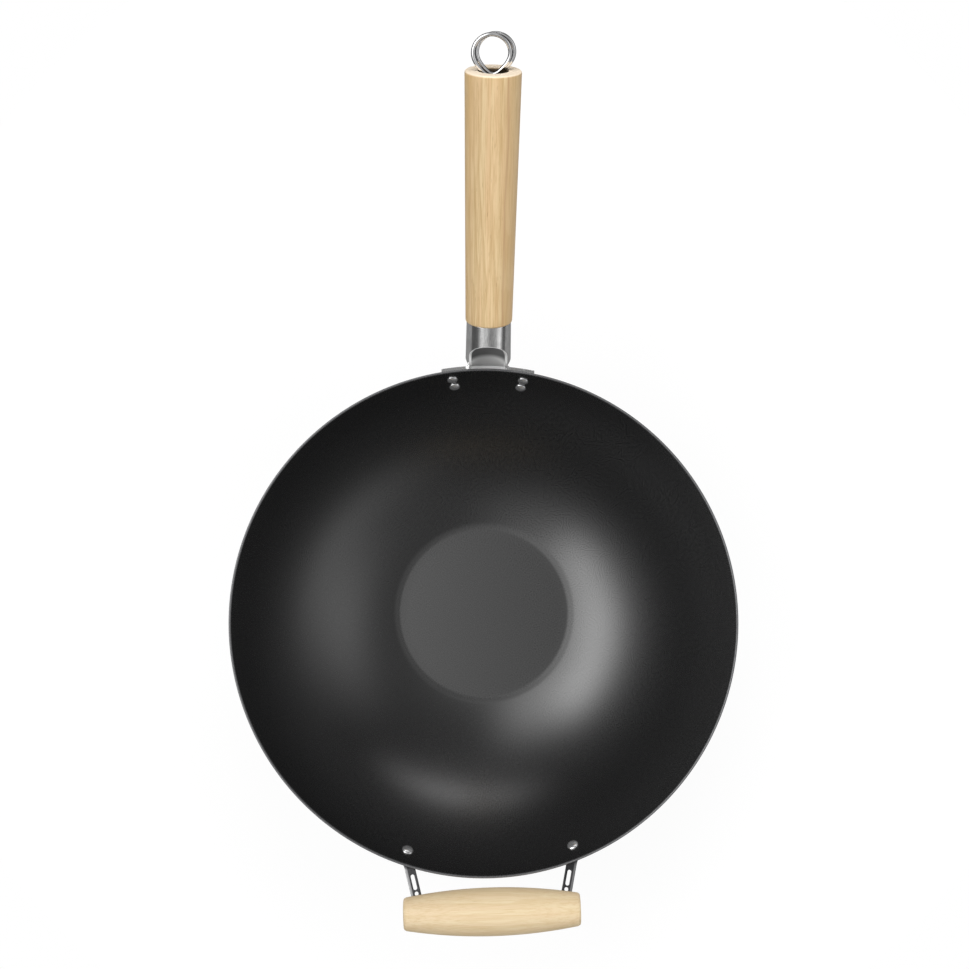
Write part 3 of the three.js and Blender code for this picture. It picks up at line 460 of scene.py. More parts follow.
def bowl_coat():
    """Satin black coating, finely grained, with the sheet's edge showing paler at the rim."""
    made, tree, shader = finish_of("coat_black", IOR=1.94)
    where = own_axes(tree)
    grain = noise(tree, where, 1.6, 3.0, 0.6)
    cloud = noise(tree, where, 0.03, 3.0)
    part = split(tree, where)
    out = flat_length(tree, part[0], part[1])
    edge_r = (WALL_RADIUS - SHEET / 2) * math.sin(RIM_ANGLE)
    edge_z = CENTRE_HEIGHT - (WALL_RADIUS - SHEET / 2) * math.cos(RIM_ANGLE)
    off_r, off_z = minus(tree, out, edge_r), minus(tree, part[2], edge_z)
    worn = fitted(tree, flat_length(tree, off_r, off_z), 0.7, 1.0, 1.0, 0.0)
    black = blended(tree, cloud, (0.0035, 0.0035, 0.0036, 1), (0.005, 0.005, 0.0052, 1))
    bare_edge = (0.16, 0.16, 0.165, 1)
    tree.links.new(blended(tree, worn, black, bare_edge), shader.inputs["Base Color"])
    tree.links.new(fitted(tree, grain, 0.2, 0.8, 0.255, 0.285), shader.inputs["Roughness"])
    tree.links.new(times(tree, worn, 0.7), shader.inputs["Metallic"])
    raised(tree, shader, grain, depth=0.0000003)
    return made


def handle_painted_shading(tree, where, colour):
    """Painted shade along both sides of the handle, a dark line near its right side, painted light on the
    end, and painted shade in the drilled recess.
    """
    part = split(tree, where)
    sway = drawn_noise(tree, where, (0.02, 0.012, 0.02))
    across = calc(tree, "ADD", part[0], times(tree, minus(tree, sway, 0.5), 5.0))
    # Painted shade: the right and left sides of the handle darkened in the base colour
    right = times(tree, fitted(tree, across, 6.5, 9.5), 0.4)
    left = fitted(tree, across, -16.0, -12.0, 0.4, 0.0)
    off_line = calc(tree, "ABSOLUTE", minus(tree, across, 9.8))
    line = fitted(tree, off_line, 0.1, 1.1, 0.4, 0.0)
    # Painted light: the end face made paler, where the back light falls on it
    end = times(tree, fitted(tree, part[1], WOOD_END - 1.3, WOOD_END - 0.3), 0.8)
    # Painted shade: the drilled recess darkened toward its floor
    deep = fitted(tree, part[1], WOOD_END - 1.8, WOOD_END - 0.5, 0.95, 0.0)
    within = fitted(tree, from_axis(tree, where), RECESS_RADIUS + 0.1, RECESS_RADIUS + 0.5, 1.0, 0.0)
    for share, tint in (
        (right, (0.53, 0.36, 0.17, 1)),
        (left, (0.62, 0.40, 0.155, 1)),
        (line, (0.42, 0.22, 0.11, 1)),
        (end, (0.84, 0.73, 0.59, 1)),
        (times(tree, deep, within), (0.035, 0.024, 0.014, 1)),
    ):
        colour = blended(tree, share, colour, tint)
    return colour


def eye_painted_reflection(tree, _where, colour):
    """Polished wire, its flanks and underside darkened as a painted dark reflection of the surroundings."""
    up = HANDLE_FRAME.to_3x3() @ UP
    level = vector(tree, "DOT_PRODUCT", add(tree, "ShaderNodeNewGeometry").outputs["Normal"], tuple(up))
    # Painted reflection: flanks and underside get a darker base colour by their normal
    return blended(tree, fitted(tree, level, 0.35, 0.65, 1.0, 0.0), colour, (0.45, 0.45, 0.46, 1))


def leg_painted_highlight(leg):
    """Dark strip with a painted highlight along its folded outer rail, in the helper's axes."""
    heading = Vector((leg.arm.x, leg.arm.y, 0)).normalized()
    outward = Vector((heading.y, -heading.x, 0))
    outward *= math.copysign(1, outward.x)
    rail = outward.dot(leg.bend) + LEG_WIDTH / 2 - FLANGE_THICK

    def tone(tree, where, colour):
        part = split(tree, where)
        reach = times(tree, calc(tree, "ABSOLUTE", part[0]), outward.x)
        reach = calc(tree, "ADD", reach, times(tree, part[1], outward.y))
        on_arm = fitted(tree, part[1], leg.bend.y - FLANGE_START, leg.bend.y - FLANGE_START + 4, 1.0, 0.0)
        share = times(tree, fitted(tree, reach, rail - 0.7, rail - 0.1), on_arm)
        # Painted highlight: the outer rail of the arm lightened in the base colour
        return blended(tree, share, colour, (0.36, 0.36, 0.365, 1))

    return tone


def socket_finish():
    """Bright plated sheet, duller inside the socket with painted shade deeper in, bare along the cut edge
    of the arch.
    """
    made, tree, shader = finish_of("plate_socket")
    where = own_axes(tree, *HANDLE_AXES)
    values = metal_values((0.95, 0.95, 0.945), (0.72, 0.72, 0.72), 0.13, 0.24)
    effect = add(tree, "ShaderNodeGroup", {"Vector": where, **values}, node_tree=METAL)
    part = split(tree, where)
    within = fitted(tree, from_axis(tree, where), 14.2, 14.8, 1.0, 0.0)
    inside = times(tree, within, fitted(tree, calc(tree, "ABSOLUTE", part[0]), 11.4, 12.3, 1.0, 0.0))
    colour = blended(tree, inside, effect.outputs["Color"], (0.97, 0.97, 0.965, 1))
    # Painted shade: the inside of the socket darkened deeper under the arch
    shade = times(tree, inside, fitted(tree, part[1], 2.5, 6.0, 0.0, 0.85))
    colour = blended(tree, shade, colour, (0.04, 0.04, 0.042, 1))

    # Bare metal along the cut, measured in the round of the socket
    half = fitted(tree, part[1], NECK_FOOT, NECK_TOP, NECK_HALF, SOCKET_FOOT)
    even = times(tree, part[0], calc(tree, "DIVIDE", SOCKET_FOOT, half))
    round_out = flat_length(tree, even, part[2])
    cut_x = calc(tree, "DIVIDE", times(tree, part[0], SOCKET_FOOT / ARCH_HALF), round_out)
    past = calc(tree, "MAXIMUM", minus(tree, part[1], ARCH_APEX - ARCH_CROWN), 0.0)
    cut = flat_length(tree, cut_x, calc(tree, "DIVIDE", past, ARCH_CROWN))
    near = calc(tree, "ABSOLUTE", minus(tree, cut, 1.0))
    bare = times(tree, fitted(tree, near, 0.022, 0.04, 1.0, 0.0), fitted(tree, part[2], 2.0, 3.0))
    bare = times(tree, bare, fitted(tree, part[1], 4.0, 5.5))
    colour = blended(tree, bare, colour, (0.86, 0.86, 0.855, 1))

    tree.links.new(colour, shader.inputs["Base Color"])
    dull = calc(tree, "MAXIMUM", times(tree, inside, 0.4), times(tree, bare, 0.25))
    tree.links.new(calc(tree, "ADD", effect.outputs["Roughness"], dull), shader.inputs["Roughness"])
    tree.links.new(minus(tree, 1.0, times(tree, dull, 2.2)), shader.inputs["Metallic"])
    raised(tree, shader, effect.outputs["Height"], depth=0.000003, eased=0.0004)
    return made


WOOD = wood_grain()
METAL = worked_metal()
HANDLE_AXES = ((0, RIM_RADIUS * MM, BOWL_HEIGHT * MM), (rad(HANDLE_RISE), 0, 0))
GRIP_AXES = (tuple(HELPER_FRAME @ GRIP_PLACE * MM), (0, 0, rad(HELPER_TURN - 90)))
coat_black = bowl_coat()
handle_wood = grouped_finish(
    "wood_handle",
    WOOD,
    HANDLE_AXES,
    {
        "Heart": (-46, 0, -34),
        "Pale": (0.70, 0.535, 0.305, 1),
        "Deep": (0.455, 0.275, 0.105, 1),
        "Flush": (0.68, 0.475, 0.268, 1),
        "Ring Pitch": 5.2,
        "Ring Strength": 0.42,
        "Fibre Strength": 0.62,
        "Pore Strength": 0.5,
    },
    depth=0.00006,
    tone=handle_painted_shading,
    Coat_Weight=0.12,
    Coat_Roughness=0.35,
)
grip_wood = grouped_finish(
    "wood_grip",
    WOOD,
    GRIP_AXES,
    {
        "Heart": (78, 0, 12),
        "Pale": (0.67, 0.55, 0.358, 1),
        "Deep": (0.53, 0.378, 0.193, 1),
        "Flush": (0.655, 0.507, 0.33, 1),
        "Ring Pitch": 6.5,
        "Ring Strength": 0.4,
        "Fibre Strength": 0.55,
        "Pore Strength": 0.22,
    },
    depth=0.00005,
    Coat_Weight=0.1,
    Coat_Roughness=0.4,
)
socket_plate = socket_finish()
rivet_steel = grouped_finish(
    "steel_rivet",
    METAL,
    ((0, 0, 0), (0, 0, 0)),
    metal_values((0.94, 0.94, 0.95), (0.82, 0.82, 0.83), 0.12, 0.22),
    depth=0.000006,
    Metallic=0.92,
)
eye_chrome = grouped_finish(
    "chrome_eye",
    METAL,
    HANDLE_AXES,
    metal_values((0.96, 0.96, 0.965), (0.9, 0.9, 0.905), 0.05, 0.12),
    depth=0.000002,
    tone=eye_painted_reflection,
    Metallic=1.0,
    Specular_Tint=(0.15, 0.15, 0.16, 1),
)
fixing_steel = grouped_finish(
    "steel_fixing",
    METAL,
    HANDLE_AXES,
    metal_values((0.5, 0.5, 0.51), (0.36, 0.36, 0.37), 0.25, 0.42),
    depth=0.00001,
    Metallic=1.0,
)

TURNED = turned_tree()
RIVETS = rivet_tree(TURNED)
WIRE = wire_tree()


# Bowl
def make_bowl():
    edge_x, edge_z = arc(0, CENTRE_HEIGHT, WALL_RADIUS - SHEET / 2, RIM_ANGLE, RIM_ANGLE, 1)[0]
    flat = (0, 30, 56)
    points = [(r, 0) for r in flat]
    points += arc(FLAT_RADIUS, BASE_BEND, BASE_BEND, 0, BEND_ANGLE, BEND_STEPS)
    points += arc(0, CENTRE_HEIGHT, WALL_RADIUS, BEND_ANGLE, RIM_ANGLE, WALL_STEPS)[1:]
    points += arc(edge_x, edge_z, SHEET / 2, RIM_ANGLE, RIM_ANGLE + math.pi, BEND_STEPS)[1:-1]
    points += arc(0, CENTRE_HEIGHT, WALL_RADIUS - SHEET, RIM_ANGLE, BEND_ANGLE, WALL_STEPS)
    points += arc(FLAT_RADIUS, BASE_BEND, BASE_BEND - SHEET, BEND_ANGLE, 0, BEND_STEPS)[1:]
    points += [(r, SHEET) for r in reversed(flat)]
    made = grown(profile(points), TURNED, "bowl", segments=BOWL_SEGMENTS, material=coat_black)
    handed_in(shaded(seated(made), 60), coat_black, "bowl_coat", "wok_bowl")


# Rivets
def wall_seat(azimuth, polar, lift=0.0):
    """Place and outward normal on the bowl wall, polar angle from straight down."""
    out = math.sin(polar)
    normal = Vector((math.cos(azimuth) * out, math.sin(azimuth) * out, -math.cos(polar)))
    return normal * (WALL_RADIUS + lift) + UP * CENTRE_HEIGHT, normal


def rivet_seats(seats):
    mesh = bpy.data.meshes.new("seats")
    mesh.from_pydata([place for place, _ in seats], [], [])
    facing = mesh.attributes.new("seat_normal", "FLOAT_VECTOR", "POINT")
    for i, (_, normal) in enumerate(seats):
        facing.data[i].vector = normal
    return linked("seats", mesh)


def make_rivets(name, seats, head, dome, grip, nodes):
    """Domed heads pressed down inside the wall and outside what they hold."""
    inner, outer = -SHEET - TOUCH, grip + CLEAR + TOUCH
    turns = [rad(90) * i / QUARTER_STEPS for i in range(QUARTER_STEPS + 1)]
    seat = head - HEAD_EASE
    points = [(head * math.sin(t), inner - CLEAR - dome * math.cos(t)) for t in turns]
    points += [(seat, inner), (RIVET_SHANK, inner), (RIVET_SHANK, outer), (seat, outer)]
    points += [(head * math.sin(t), outer + CLEAR + dome * math.cos(t)) for t in reversed(turns)]
    places = rivet_seats(seats)
    looks = {"segments": RIVET_SEGMENTS, "material": rivet_steel}
    made = grown(profile(points), RIVETS, name, seats=places, **looks)
    bpy.data.objects.remove(places)
    handed_in(shaded(seated(made)), rivet_steel, "rivet_steel", *nodes)


def make_all_rivets():
    seats = []
    for side in (-1, 1):
        for drop, reach in HANDLE_RIVETS:
            polar = RIM_ANGLE - drop / WALL_RADIUS
            swing = math.asin(reach / (WALL_RADIUS * math.sin(polar)))
            seats.append(wall_seat(rad(90) - side * swing, polar))
    nodes = [f"handle_rivet_{i}" for i in (1, 2, 3, 4)]
    make_rivets("handle_rivets", seats, HANDLE_HEAD, HANDLE_DOME, STRAP_THICK, nodes)
    polar = RIM_ANGLE - HELPER_RIVET_DROP / WALL_RADIUS
    seats = [wall_seat(rad(HELPER_TURN + side * HELPER_RIVET_ANGLE - 90), polar) for side in (-1, 1)]
    nodes = ["helper_rivet_left", "helper_rivet_right"]
    make_rivets("helper_rivets", seats, HELPER_HEAD, HELPER_DOME, LEG_THICK, nodes)


# Bracket of the long handle
def socket_radius(y):
    top = WOOD_START - CLEAR
    return lerp(SOCKET_FOOT, SOCKET_MOUTH, (min(top, max(NECK_TOP, y)) - NECK_TOP) / (top - NECK_TOP))


def socket_half(y):
    return lerp(NECK_HALF, socket_radius(y), smooth_step(y, NECK_FOOT, NECK_TOP))


def socket_rings(inset, past):
    start, end = -STRAP_LOBE - SOCKET_FOOT - past, WOOD_START - CLEAR + past
    stations = [start] + [lerp(NECK_FOOT, NECK_TOP, i / 10) for i in range(11)] + [end]
    rings = []
    for y in stations:
        wide, tall = socket_half(y) - inset, socket_radius(y) - inset
        ring = [Vector((wide * math.cos(t), y, tall * math.sin(t))) for t in circle(SOCKET_SIDES)]
        rings.append([HANDLE_FRAME @ p for p in ring])
    return rings


def swept(name, section):
    """A section of radius and height carried around the bowl's axis, past both ends of the strap."""
    swings = [rad(lerp(*STRAP_SWINGS, i / STRAP_STEPS)) for i in range(STRAP_STEPS + 1)]
    return loft(name, [[Vector((r * math.cos(a), r * math.sin(a), z)) for r, z in section] for a in swings])


def make_bracket():
    inner, outer = WALL_RADIUS + TOUCH, WALL_RADIUS + CLEAR + STRAP_THICK
    middle = (STRAP_TOP + STRAP_LOBE) / 2
    polar = RIM_ANGLE - middle / WALL_RADIUS
    high = RIM_ANGLE - STRAP_TOP / WALL_RADIUS
    low = RIM_ANGLE - (STRAP_LOBE + STRAP_CORNER) / WALL_RADIUS
    place, normal = wall_seat(rad(90), polar, CLEAR + STRAP_THICK)
    up_wall = Vector((0, math.cos(polar), math.sin(polar)))

    # Strap: a patch of shell on the wall, trimmed to its outline
    section = arc(0, CENTRE_HEIGHT, outer, low, high, 20) + arc(0, CENTRE_HEIGHT, inner, high, low, 20)
    wing, lobe = middle - STRAP_WING, middle - STRAP_LOBE
    flat = STRAP_FOOT_HALF - STRAP_CORNER
    half = [(STRAP_HALF, middle + STRAP_CORNER), (STRAP_FOOT_HALF, wing + STRAP_CORNER)]
    for i in range(ROUND_STEPS):
        t = (i + 1) / ROUND_STEPS
        half.append((STRAP_FOOT_HALF - STRAP_CORNER * t * t, wing + STRAP_CORNER * (1 - t) ** 2))
    for i in range(LOBE_STEPS):
        t = (i + 1) / LOBE_STEPS
        across = flat * (1 - t) ** 3 + 6 * STRAP_LOBE_HALF * t * (1 - t) + STRAP_LOBE_HALF * t**3
        half.append((across, lerp(wing, lobe, t * t * (3 - 2 * t))))
    outline = half + [(-x, y) for x, y in reversed(half)]
    axes = Matrix((Vector((1, 0, 0)), up_wall, -normal)).transposed().to_4x4()
    cutter = prism("outline", outline, Matrix.Translation(place) @ axes, STRAP_LOBE)
    strap = joined(swept("bracket", section), ("INTERSECT", cutter))

    # Flare: rings stacked outward from the strap, the neck bending out into its face
    axis = HANDLE_FRAME.to_3x3() @ Vector((0, 1, 0))
    rise = Vector((0, RIM_RADIUS, BOWL_HEIGHT)) - place

    def flare_ring(lift, spread):
        centre = rise.dot(up_wall) + (lift - rise.dot(normal)) * axis.dot(up_wall) / axis.dot(normal)
        ring = []
        for t in circle(SOCKET_SIDES):
            x = (NECK_HALF + spread) * math.cos(t)
            y = centre + (SOCKET_FOOT / axis.dot(normal) + spread) * math.sin(t)
            sag = (x * x + y * y) / (2 * outer)
            ring.append(place + Vector((x, 0, 0)) + up_wall * y + normal * (lift - sag))
        return ring

    rings = [flare_ring(-STRAP_THICK * 0.8, FLARE_BEND)]
    for i in range(QUARTER_STEPS + 1):
        lift = FLARE_BEND * (1 - math.cos(rad(90) * i / QUARTER_STEPS))
        rings.append(flare_ring(lift, FLARE_BEND * (1 - math.sin(math.acos(1 - lift / FLARE_BEND)))))
    rings.append(flare_ring(FLARE_BEND + SOCKET_WALL, -SOCKET_WALL / 2))
    over = CENTRE_HEIGHT - outer * math.cos(high)
    lid = loft("lid", [[Vector((x, y, z)) for x, y in LID_CORNERS] for z in (over, over + LID_DEPTH)])
    flare = joined(loft("flare", rings), ("DIFFERENCE", lid))

    # Arch cut square to the sheet, and the trim that keeps the socket off the bowl
    leg = [(-ARCH_HALF, -STRAP_LOBE - SOCKET_FOOT - 1)]
    leg += [(-ARCH_HALF, lerp(ARCH_FOOT, NECK_TOP, i / LEG_STEPS)) for i in range(LEG_STEPS + 1)]
    turns = [math.pi * (1 - i / CROWN_STEPS) for i in range(CROWN_STEPS + 1)]
    crown = [(ARCH_HALF * math.cos(t), ARCH_APEX + ARCH_CROWN * (math.sin(t) - 1)) for t in turns]
    gate = leg + crown + [(-x, y) for x, y in reversed(leg)]

    def arch_ring(grow, height):
        ring = []
        for x, y in gate:
            top = socket_radius(y) * math.sqrt(1 - (x / socket_half(y)) ** 2)
            ring.append(HANDLE_FRAME @ Vector((grow * x, y, grow * top if height is None else height)))
        return ring

    near, far = 1 - 1.6 * SOCKET_WALL / SOCKET_FOOT, 1 + 0.5 * SOCKET_WALL / SOCKET_FOOT
    steps = ((near, CLEAR), (near, None), (far, None), (far, 2 * SOCKET_FOOT))
    arch = loft("arch", [arch_ring(*step) for step in steps])
    ball, edge = WALL_RADIUS + CLEAR + STRAP_THICK / 2, RIM_RADIUS + CLEAR + STRAP_THICK / 2
    cheek = arc(0, CENTRE_HEIGHT, ball, rad(TRIM_START), math.asin(edge / ball), TRIM_STEPS)
    cheek += [(edge, TRIM_TOP), (TRIM_INNER, TRIM_TOP)]
    socket = joined(
        loft("socket", socket_rings(0, 0)),
        ("UNION", flare),
        ("DIFFERENCE", loft("bore", socket_rings(SOCKET_WALL, 1))),
        ("DIFFERENCE", swept("trim", cheek)),
        ("DIFFERENCE", arch),
    )
    made = joined(strap, ("UNION", socket))
    made.name = "bracket"
    face_out(made.data)
    handed_in(shaded(seated(made), 28), socket_plate, "socket_plate", "handle_bracket")


# Long handle with its eye rod and fixings
def make_long_handle():
    bore, tenon = WIRE_RADIUS + CLEAR, SOCKET_MOUTH - SOCKET_WALL - CLEAR
    start, foot = WOOD_START - CLEAR + TOUCH, WOOD_START - TENON_LENGTH
    shoulder = SOCKET_MOUTH + WOOD_SHOULDER
    floor = WOOD_END - RECESS_DEPTH
    points = [(bore, foot), (tenon - TENON_BEVEL, foot), (tenon, foot + TENON_BEVEL), (tenon, start)]
    points.append((shoulder - WOOD_BEVEL, start))
    for t in (rad(90) * i / 6 for i in range(1, 7)):
        inset, rise = WOOD_BEVEL * (1 - math.sin(t)) * 0.9, WOOD_BEVEL * (1 - math.cos(t))
        points.append((shoulder - inset, start + rise))
    last = WOOD_END - WOOD_ROUND
    for t in (i / 24 for i in range(1, 24)):
        points.append((lerp(shoulder, WOOD_END_RADIUS, t), lerp(start + WOOD_BEVEL, last, t)))
    points += arc(WOOD_END_RADIUS - WOOD_ROUND, last, WOOD_ROUND, rad(90), rad(180), ROUND_STEPS)
    points += arc(RECESS_RADIUS + RECESS_LIP, WOOD_END - RECESS_LIP, RECESS_LIP, rad(180), rad(270), 5)
    points += [(RECESS_RADIUS, floor), (bore, floor), (bore, foot)]
    looks = {"segments": TURNED_SEGMENTS, "material": handle_wood}
    made = grown(profile(points), TURNED, "long_handle_wood", **looks)
    handed_in(shaded(seated(made, HANDLE_SPIN), 50), handle_wood, "handle_wood", "long_handle")


def curve_point(p0, p1, p2, p3, t):
    """A point between p1 and p2 on a smooth curve, paced by the square root of the point spacing."""
    steps = [max((b - a).length_squared**0.25, 1e-4) for a, b in ((p0, p1), (p1, p2), (p2, p3))]

    def tangent(a, b, c, before, after):
        return ((b - a) / before - (c - a) / (before + after) + (c - b) / after) * steps[1]

    m1, m2 = tangent(p0, p1, p2, steps[0], steps[1]), tangent(p1, p2, p3, steps[1], steps[2])
    return (
        p1 * (2 * t**3 - 3 * t**2 + 1)
        + m1 * (t**3 - 2 * t**2 + t)
        + p2 * (3 * t**2 - 2 * t**3)
        + m2 * (t**3 - t**2)
    )


def make_eye_rod():
    """Straight shank, cranked neck, two turns side by side and a cut tail, drawn in the handle's axes."""
    pitch = 2 * WIRE_RADIUS + TURN_GAP
    nut_low = WOOD_START - TENON_LENGTH - 2 * CLEAR - PLUG_THICK - NUT_THICK
    low, top = nut_low - ROD_TIP, WOOD_END - RECESS_DEPTH + 2 * CLEAR + WASHER_THICK
    neck_low = WOOD_END - EYE_SINK
    centre = neck_low + EYE_NECK_DROP + EYE_RADIUS
    points = [Vector((0, lerp(top, low, back), 0)) for back in (1, 0.75, 0.5, 0.25, 0.1, 0.03, 0.01, 0)]
    for share, crank in ((0.42, 0.5), (0.72, 0.95)):
        points.append(Vector((-0.8 * TURN_SHIFT * crank, lerp(top, neck_low, share), pitch * crank)))
    for i in range(TURN_POINTS + 1):
        phi = lerp(EYE_START, 4 * math.pi - EYE_START, i / TURN_POINTS)
        turns = phi / (2 * math.pi) - 1
        neck = math.cos(phi / 2) ** (2 * EYE_NECK_SHARPNESS)
        across = TURN_SHIFT * turns - EYE_RADIUS * math.sin(phi)
        along = centre - EYE_RADIUS * math.cos(phi) - EYE_NECK_DROP * neck
        points.append(Vector((across, along, -pitch * turns)))
    points.append(Vector((TURN_SHIFT / 2, neck_low - TAIL_LENGTH, -pitch)))
    ends = [2 * points[0] - points[1]] + points + [2 * points[-1] - points[-2]]
    shares = [k / POINT_STEPS for k in range(POINT_STEPS)]
    path = [curve_point(*ends[i : i + 4], t) for i in range(len(points) - 1) for t in shares]
    path.append(points[-1])
    curve = bpy.data.curves.new("path", "CURVE")
    curve.dimensions = "3D"
    run = curve.splines.new("POLY")
    run.points.add(len(path) - 1)
    for spot, p in zip(run.points, path):
        spot.co = (*p, 1)
    looks = {"wire_radius": WIRE_RADIUS, "sides": WIRE_SIDES, "material": eye_chrome}
    made = grown(linked("path", curve), WIRE, "eye_wire", **looks)
    handed_in(shaded(seated(made, HANDLE_FRAME), 50), eye_chrome, "eye_chrome", "eye_rod")


# Helper grip
def grip_radius(x):
    sag = GRIP_MID - GRIP_END
    bow = ((GRIP_LENGTH / 2) ** 2 + sag * sag) / (2 * sag)
    return GRIP_MID - bow + math.sqrt(bow * bow - x * x)


class Leg:
    """Lines of one helper leg in the helper's axes: foot on the wall, bend, arm to the grip."""

    def __init__(self, side):
        polar = RIM_ANGLE - HELPER_RIVET_DROP / WALL_RADIUS
        swing = rad(side * HELPER_RIVET_ANGLE - 90)
        self.seat, self.normal = wall_seat(swing, polar, CLEAR + LEG_THICK / 2)
        self.target = GRIP_PLACE + Vector((side * LEG_SPACING / 2, 0, 0))
        heading = self.target - self.seat
        heading.z = 0
        heading.normalize()
        self.climb = (heading - UP * (heading.dot(self.normal) / self.normal.z)).normalized()
        self.bend = self.foot_at(1)
        self.arm = (self.target - self.bend).normalized()
        self.reach = (self.target - self.bend).length
        self.arm_across = UP.cross(heading)
        self.foot_across = self.climb.cross(self.normal)
        self.arm_face = self.arm.cross(self.arm_across)
        self.outside = math.copysign(1, self.arm_across.x) * side
        self.under = -math.copysign(1, self.arm_face.z)
        self.skin = self.reach - grip_radius(LEG_SPACING / 2)
        self.lift = self.arm_face * -self.under

    def foot_at(self, share):
        return self.seat + self.climb * (share * FOOT_LENGTH)

    def arm_at(self, s):
        return self.bend + self.arm * s

    def arm_frame(self, s, shift):
        axes = Matrix((self.arm_across, self.arm, self.arm_across.cross(self.arm))).transposed().to_4x4()
        return Matrix.Translation(self.arm_at(s) - self.arm_across * (self.outside * shift)) @ axes

    def section(self, centre, blend, width):
        forward = self.climb.lerp(self.arm, blend).normalized()
        face = -self.foot_across.lerp(self.arm_across, blend).cross(forward).normalized()
        across = face.cross(forward)
        return [centre + across * (i * width / 2) + face * (j * LEG_THICK / 2) for i, j in CORNERS]

    def edge(self, s, depth):
        centre = self.arm_at(s) + self.arm_across * (self.outside * (LEG_WIDTH - FLANGE_THICK) / 2)
        centre = centre + self.arm_face * (self.under * (depth - LEG_THICK) / 2)
        across, face = self.arm_across * (FLANGE_THICK / 2), self.arm_face * (depth / 2)
        return [centre + across * i + face * j for i, j in CORNERS]

    def slot_cutter(self, name, middle, length):
        outline = slot_outline(length, SLOT_WIDTH)
        return prism(name, outline, self.arm_frame(middle, SLOT_INSET), SLOT_CUT)


def make_leg(leg, name, finish):
    """Slotted strip with a folded outer edge, twisted from the wall to the arm."""
    rings = []
    eighths = [i / ROUND_STEPS for i in range(ROUND_STEPS + 1)]
    for t in eighths:
        width = FOOT_WIDTH * math.sqrt(1 - (0.92 * (1 - t)) ** 2)
        rings.append(leg.section(leg.foot_at(lerp(-1.0, -0.25, t)), 0, width))
    rings.append(leg.section(leg.foot_at(0.4), 0, FOOT_WIDTH))
    a, b, c = leg.foot_at(0.55), leg.bend, leg.arm_at(LEG_BEND_RUN)
    for i in range(LEG_BEND_STEPS + 1):
        t = i / LEG_BEND_STEPS
        point, turned = a * (1 - t) ** 2 + b * (2 * t * (1 - t)) + c * t * t, smooth_step(t, 0, 1)
        rings.append(leg.section(point, turned, lerp(FOOT_WIDTH, LEG_WIDTH, turned)))
    rings.append(leg.section(leg.arm_at(leg.reach + TANG_PAST_AXIS), 1, LEG_WIDTH))
    lead, tail = FLANGE_START + FLANGE_RUNOUT, leg.skin - FLANGE_RUNOUT / 2 - CLEAR
    fold = []
    for t in eighths:
        depth = lerp(LEG_THICK / 2, FLANGE_DEPTH, smooth_step(t, 0, 1))
        fold.append(leg.edge(lerp(FLANGE_START, lead, t), depth))
    fold += [leg.edge(tail, FLANGE_DEPTH), leg.edge(leg.skin - CLEAR, LEG_THICK / 2)]
    eyelet = leg.skin - EYELET_SHOWN
    slot = eyelet - SLOT_BRIDGE - SLOT_LENGTH / 2
    made = joined(
        loft(name, rings),
        ("UNION", loft("fold", fold)),
        ("DIFFERENCE", leg.slot_cutter("slot", slot, SLOT_LENGTH)),
        ("DIFFERENCE", leg.slot_cutter("eyelet", eyelet + EYELET_LENGTH / 2, EYELET_LENGTH)),
    )
    made = pressed(made, PRESS_GRAIN, PRESS_ROUNDS)
    made.name = name
    handed_in(seated(made, HELPER_FRAME), finish, "leg_steel", name.replace("arm", "leg"))


def drilled(name, radius, leg, low, high):
    """A round cutter along the screw of a leg."""
    turn = UP.rotation_difference(leg.lift).to_matrix().to_4x4()
    outline = [(radius * math.cos(t), radius * math.sin(t)) for t in circle(40)]
    middle = Matrix.Translation(leg.target + leg.lift * ((low + high) / 2))
    return prism(name, outline, middle @ turn, high - low)


def make_grip(legs):
    half, edge = GRIP_LENGTH / 2, GRIP_END - GRIP_ROUND
    points = [(0, -half), (5, -half)]
    points += arc(edge, GRIP_ROUND - half, GRIP_ROUND, 0, rad(90), ROUND_STEPS)[:-1]
    points += [(grip_radius(x), x) for x in ((half - GRIP_ROUND) * (i / 50 - 1) for i in range(101))]
    points += arc(edge, half - GRIP_ROUND, GRIP_ROUND, rad(90), rad(180), ROUND_STEPS)[1:]
    points += [(5, half), (0, half)]
    looks = {"segments": TURNED_SEGMENTS, "material": grip_wood}
    made = grown(profile(points), TURNED, "helper_grip_wood", **looks)
    made.data.transform(Matrix.Translation(GRIP_PLACE) @ Matrix.Rotation(rad(90), 4, "Y"))
    cuts = []
    for leg in legs:
        low, high = leg.skin - GRIP_ROUND - LEG_WIDTH, leg.reach + TANG_PAST_AXIS + 2 * CLEAR
        x, y = LEG_WIDTH / 2 + MORTISE_PLAY, (high - low) / 2
        outline = [(x * i, y * j) for i, j in CORNERS]
        middle, depth = leg.arm_frame((low + high) / 2, 0), LEG_THICK + 2 * MORTISE_PLAY
        cuts.append(("DIFFERENCE", prism("mortise", outline, middle, depth)))
        bore = drilled("counterbore", SCREW_HEAD + CLEAR, leg, -2 * GRIP_MID, -SCREW_SEAT)
        cuts.append(("DIFFERENCE", bore))
    made = joined(made, *cuts)
    made.name = "helper_grip_wood"
    handed_in(shaded(seated(made, HELPER_FRAME), 35), grip_wood, "grip_wood", "helper_grip")


# Fixings that keep their solids
def dress_fixings():
    for name in ("rod_washer", "socket_plug", "rod_nut", "grip_screw_left", "grip_screw_right"):
        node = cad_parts[name]
        node.data.materials.clear()
        node.data.materials.append(fixing_steel)


# Stage: pale floor, soft panels around, camera straight above; lengths in metres
FLOOR_RADIUS, FLOOR_MIDDLE, FLOOR_LEVEL = 0.46, 0.09, -0.0004


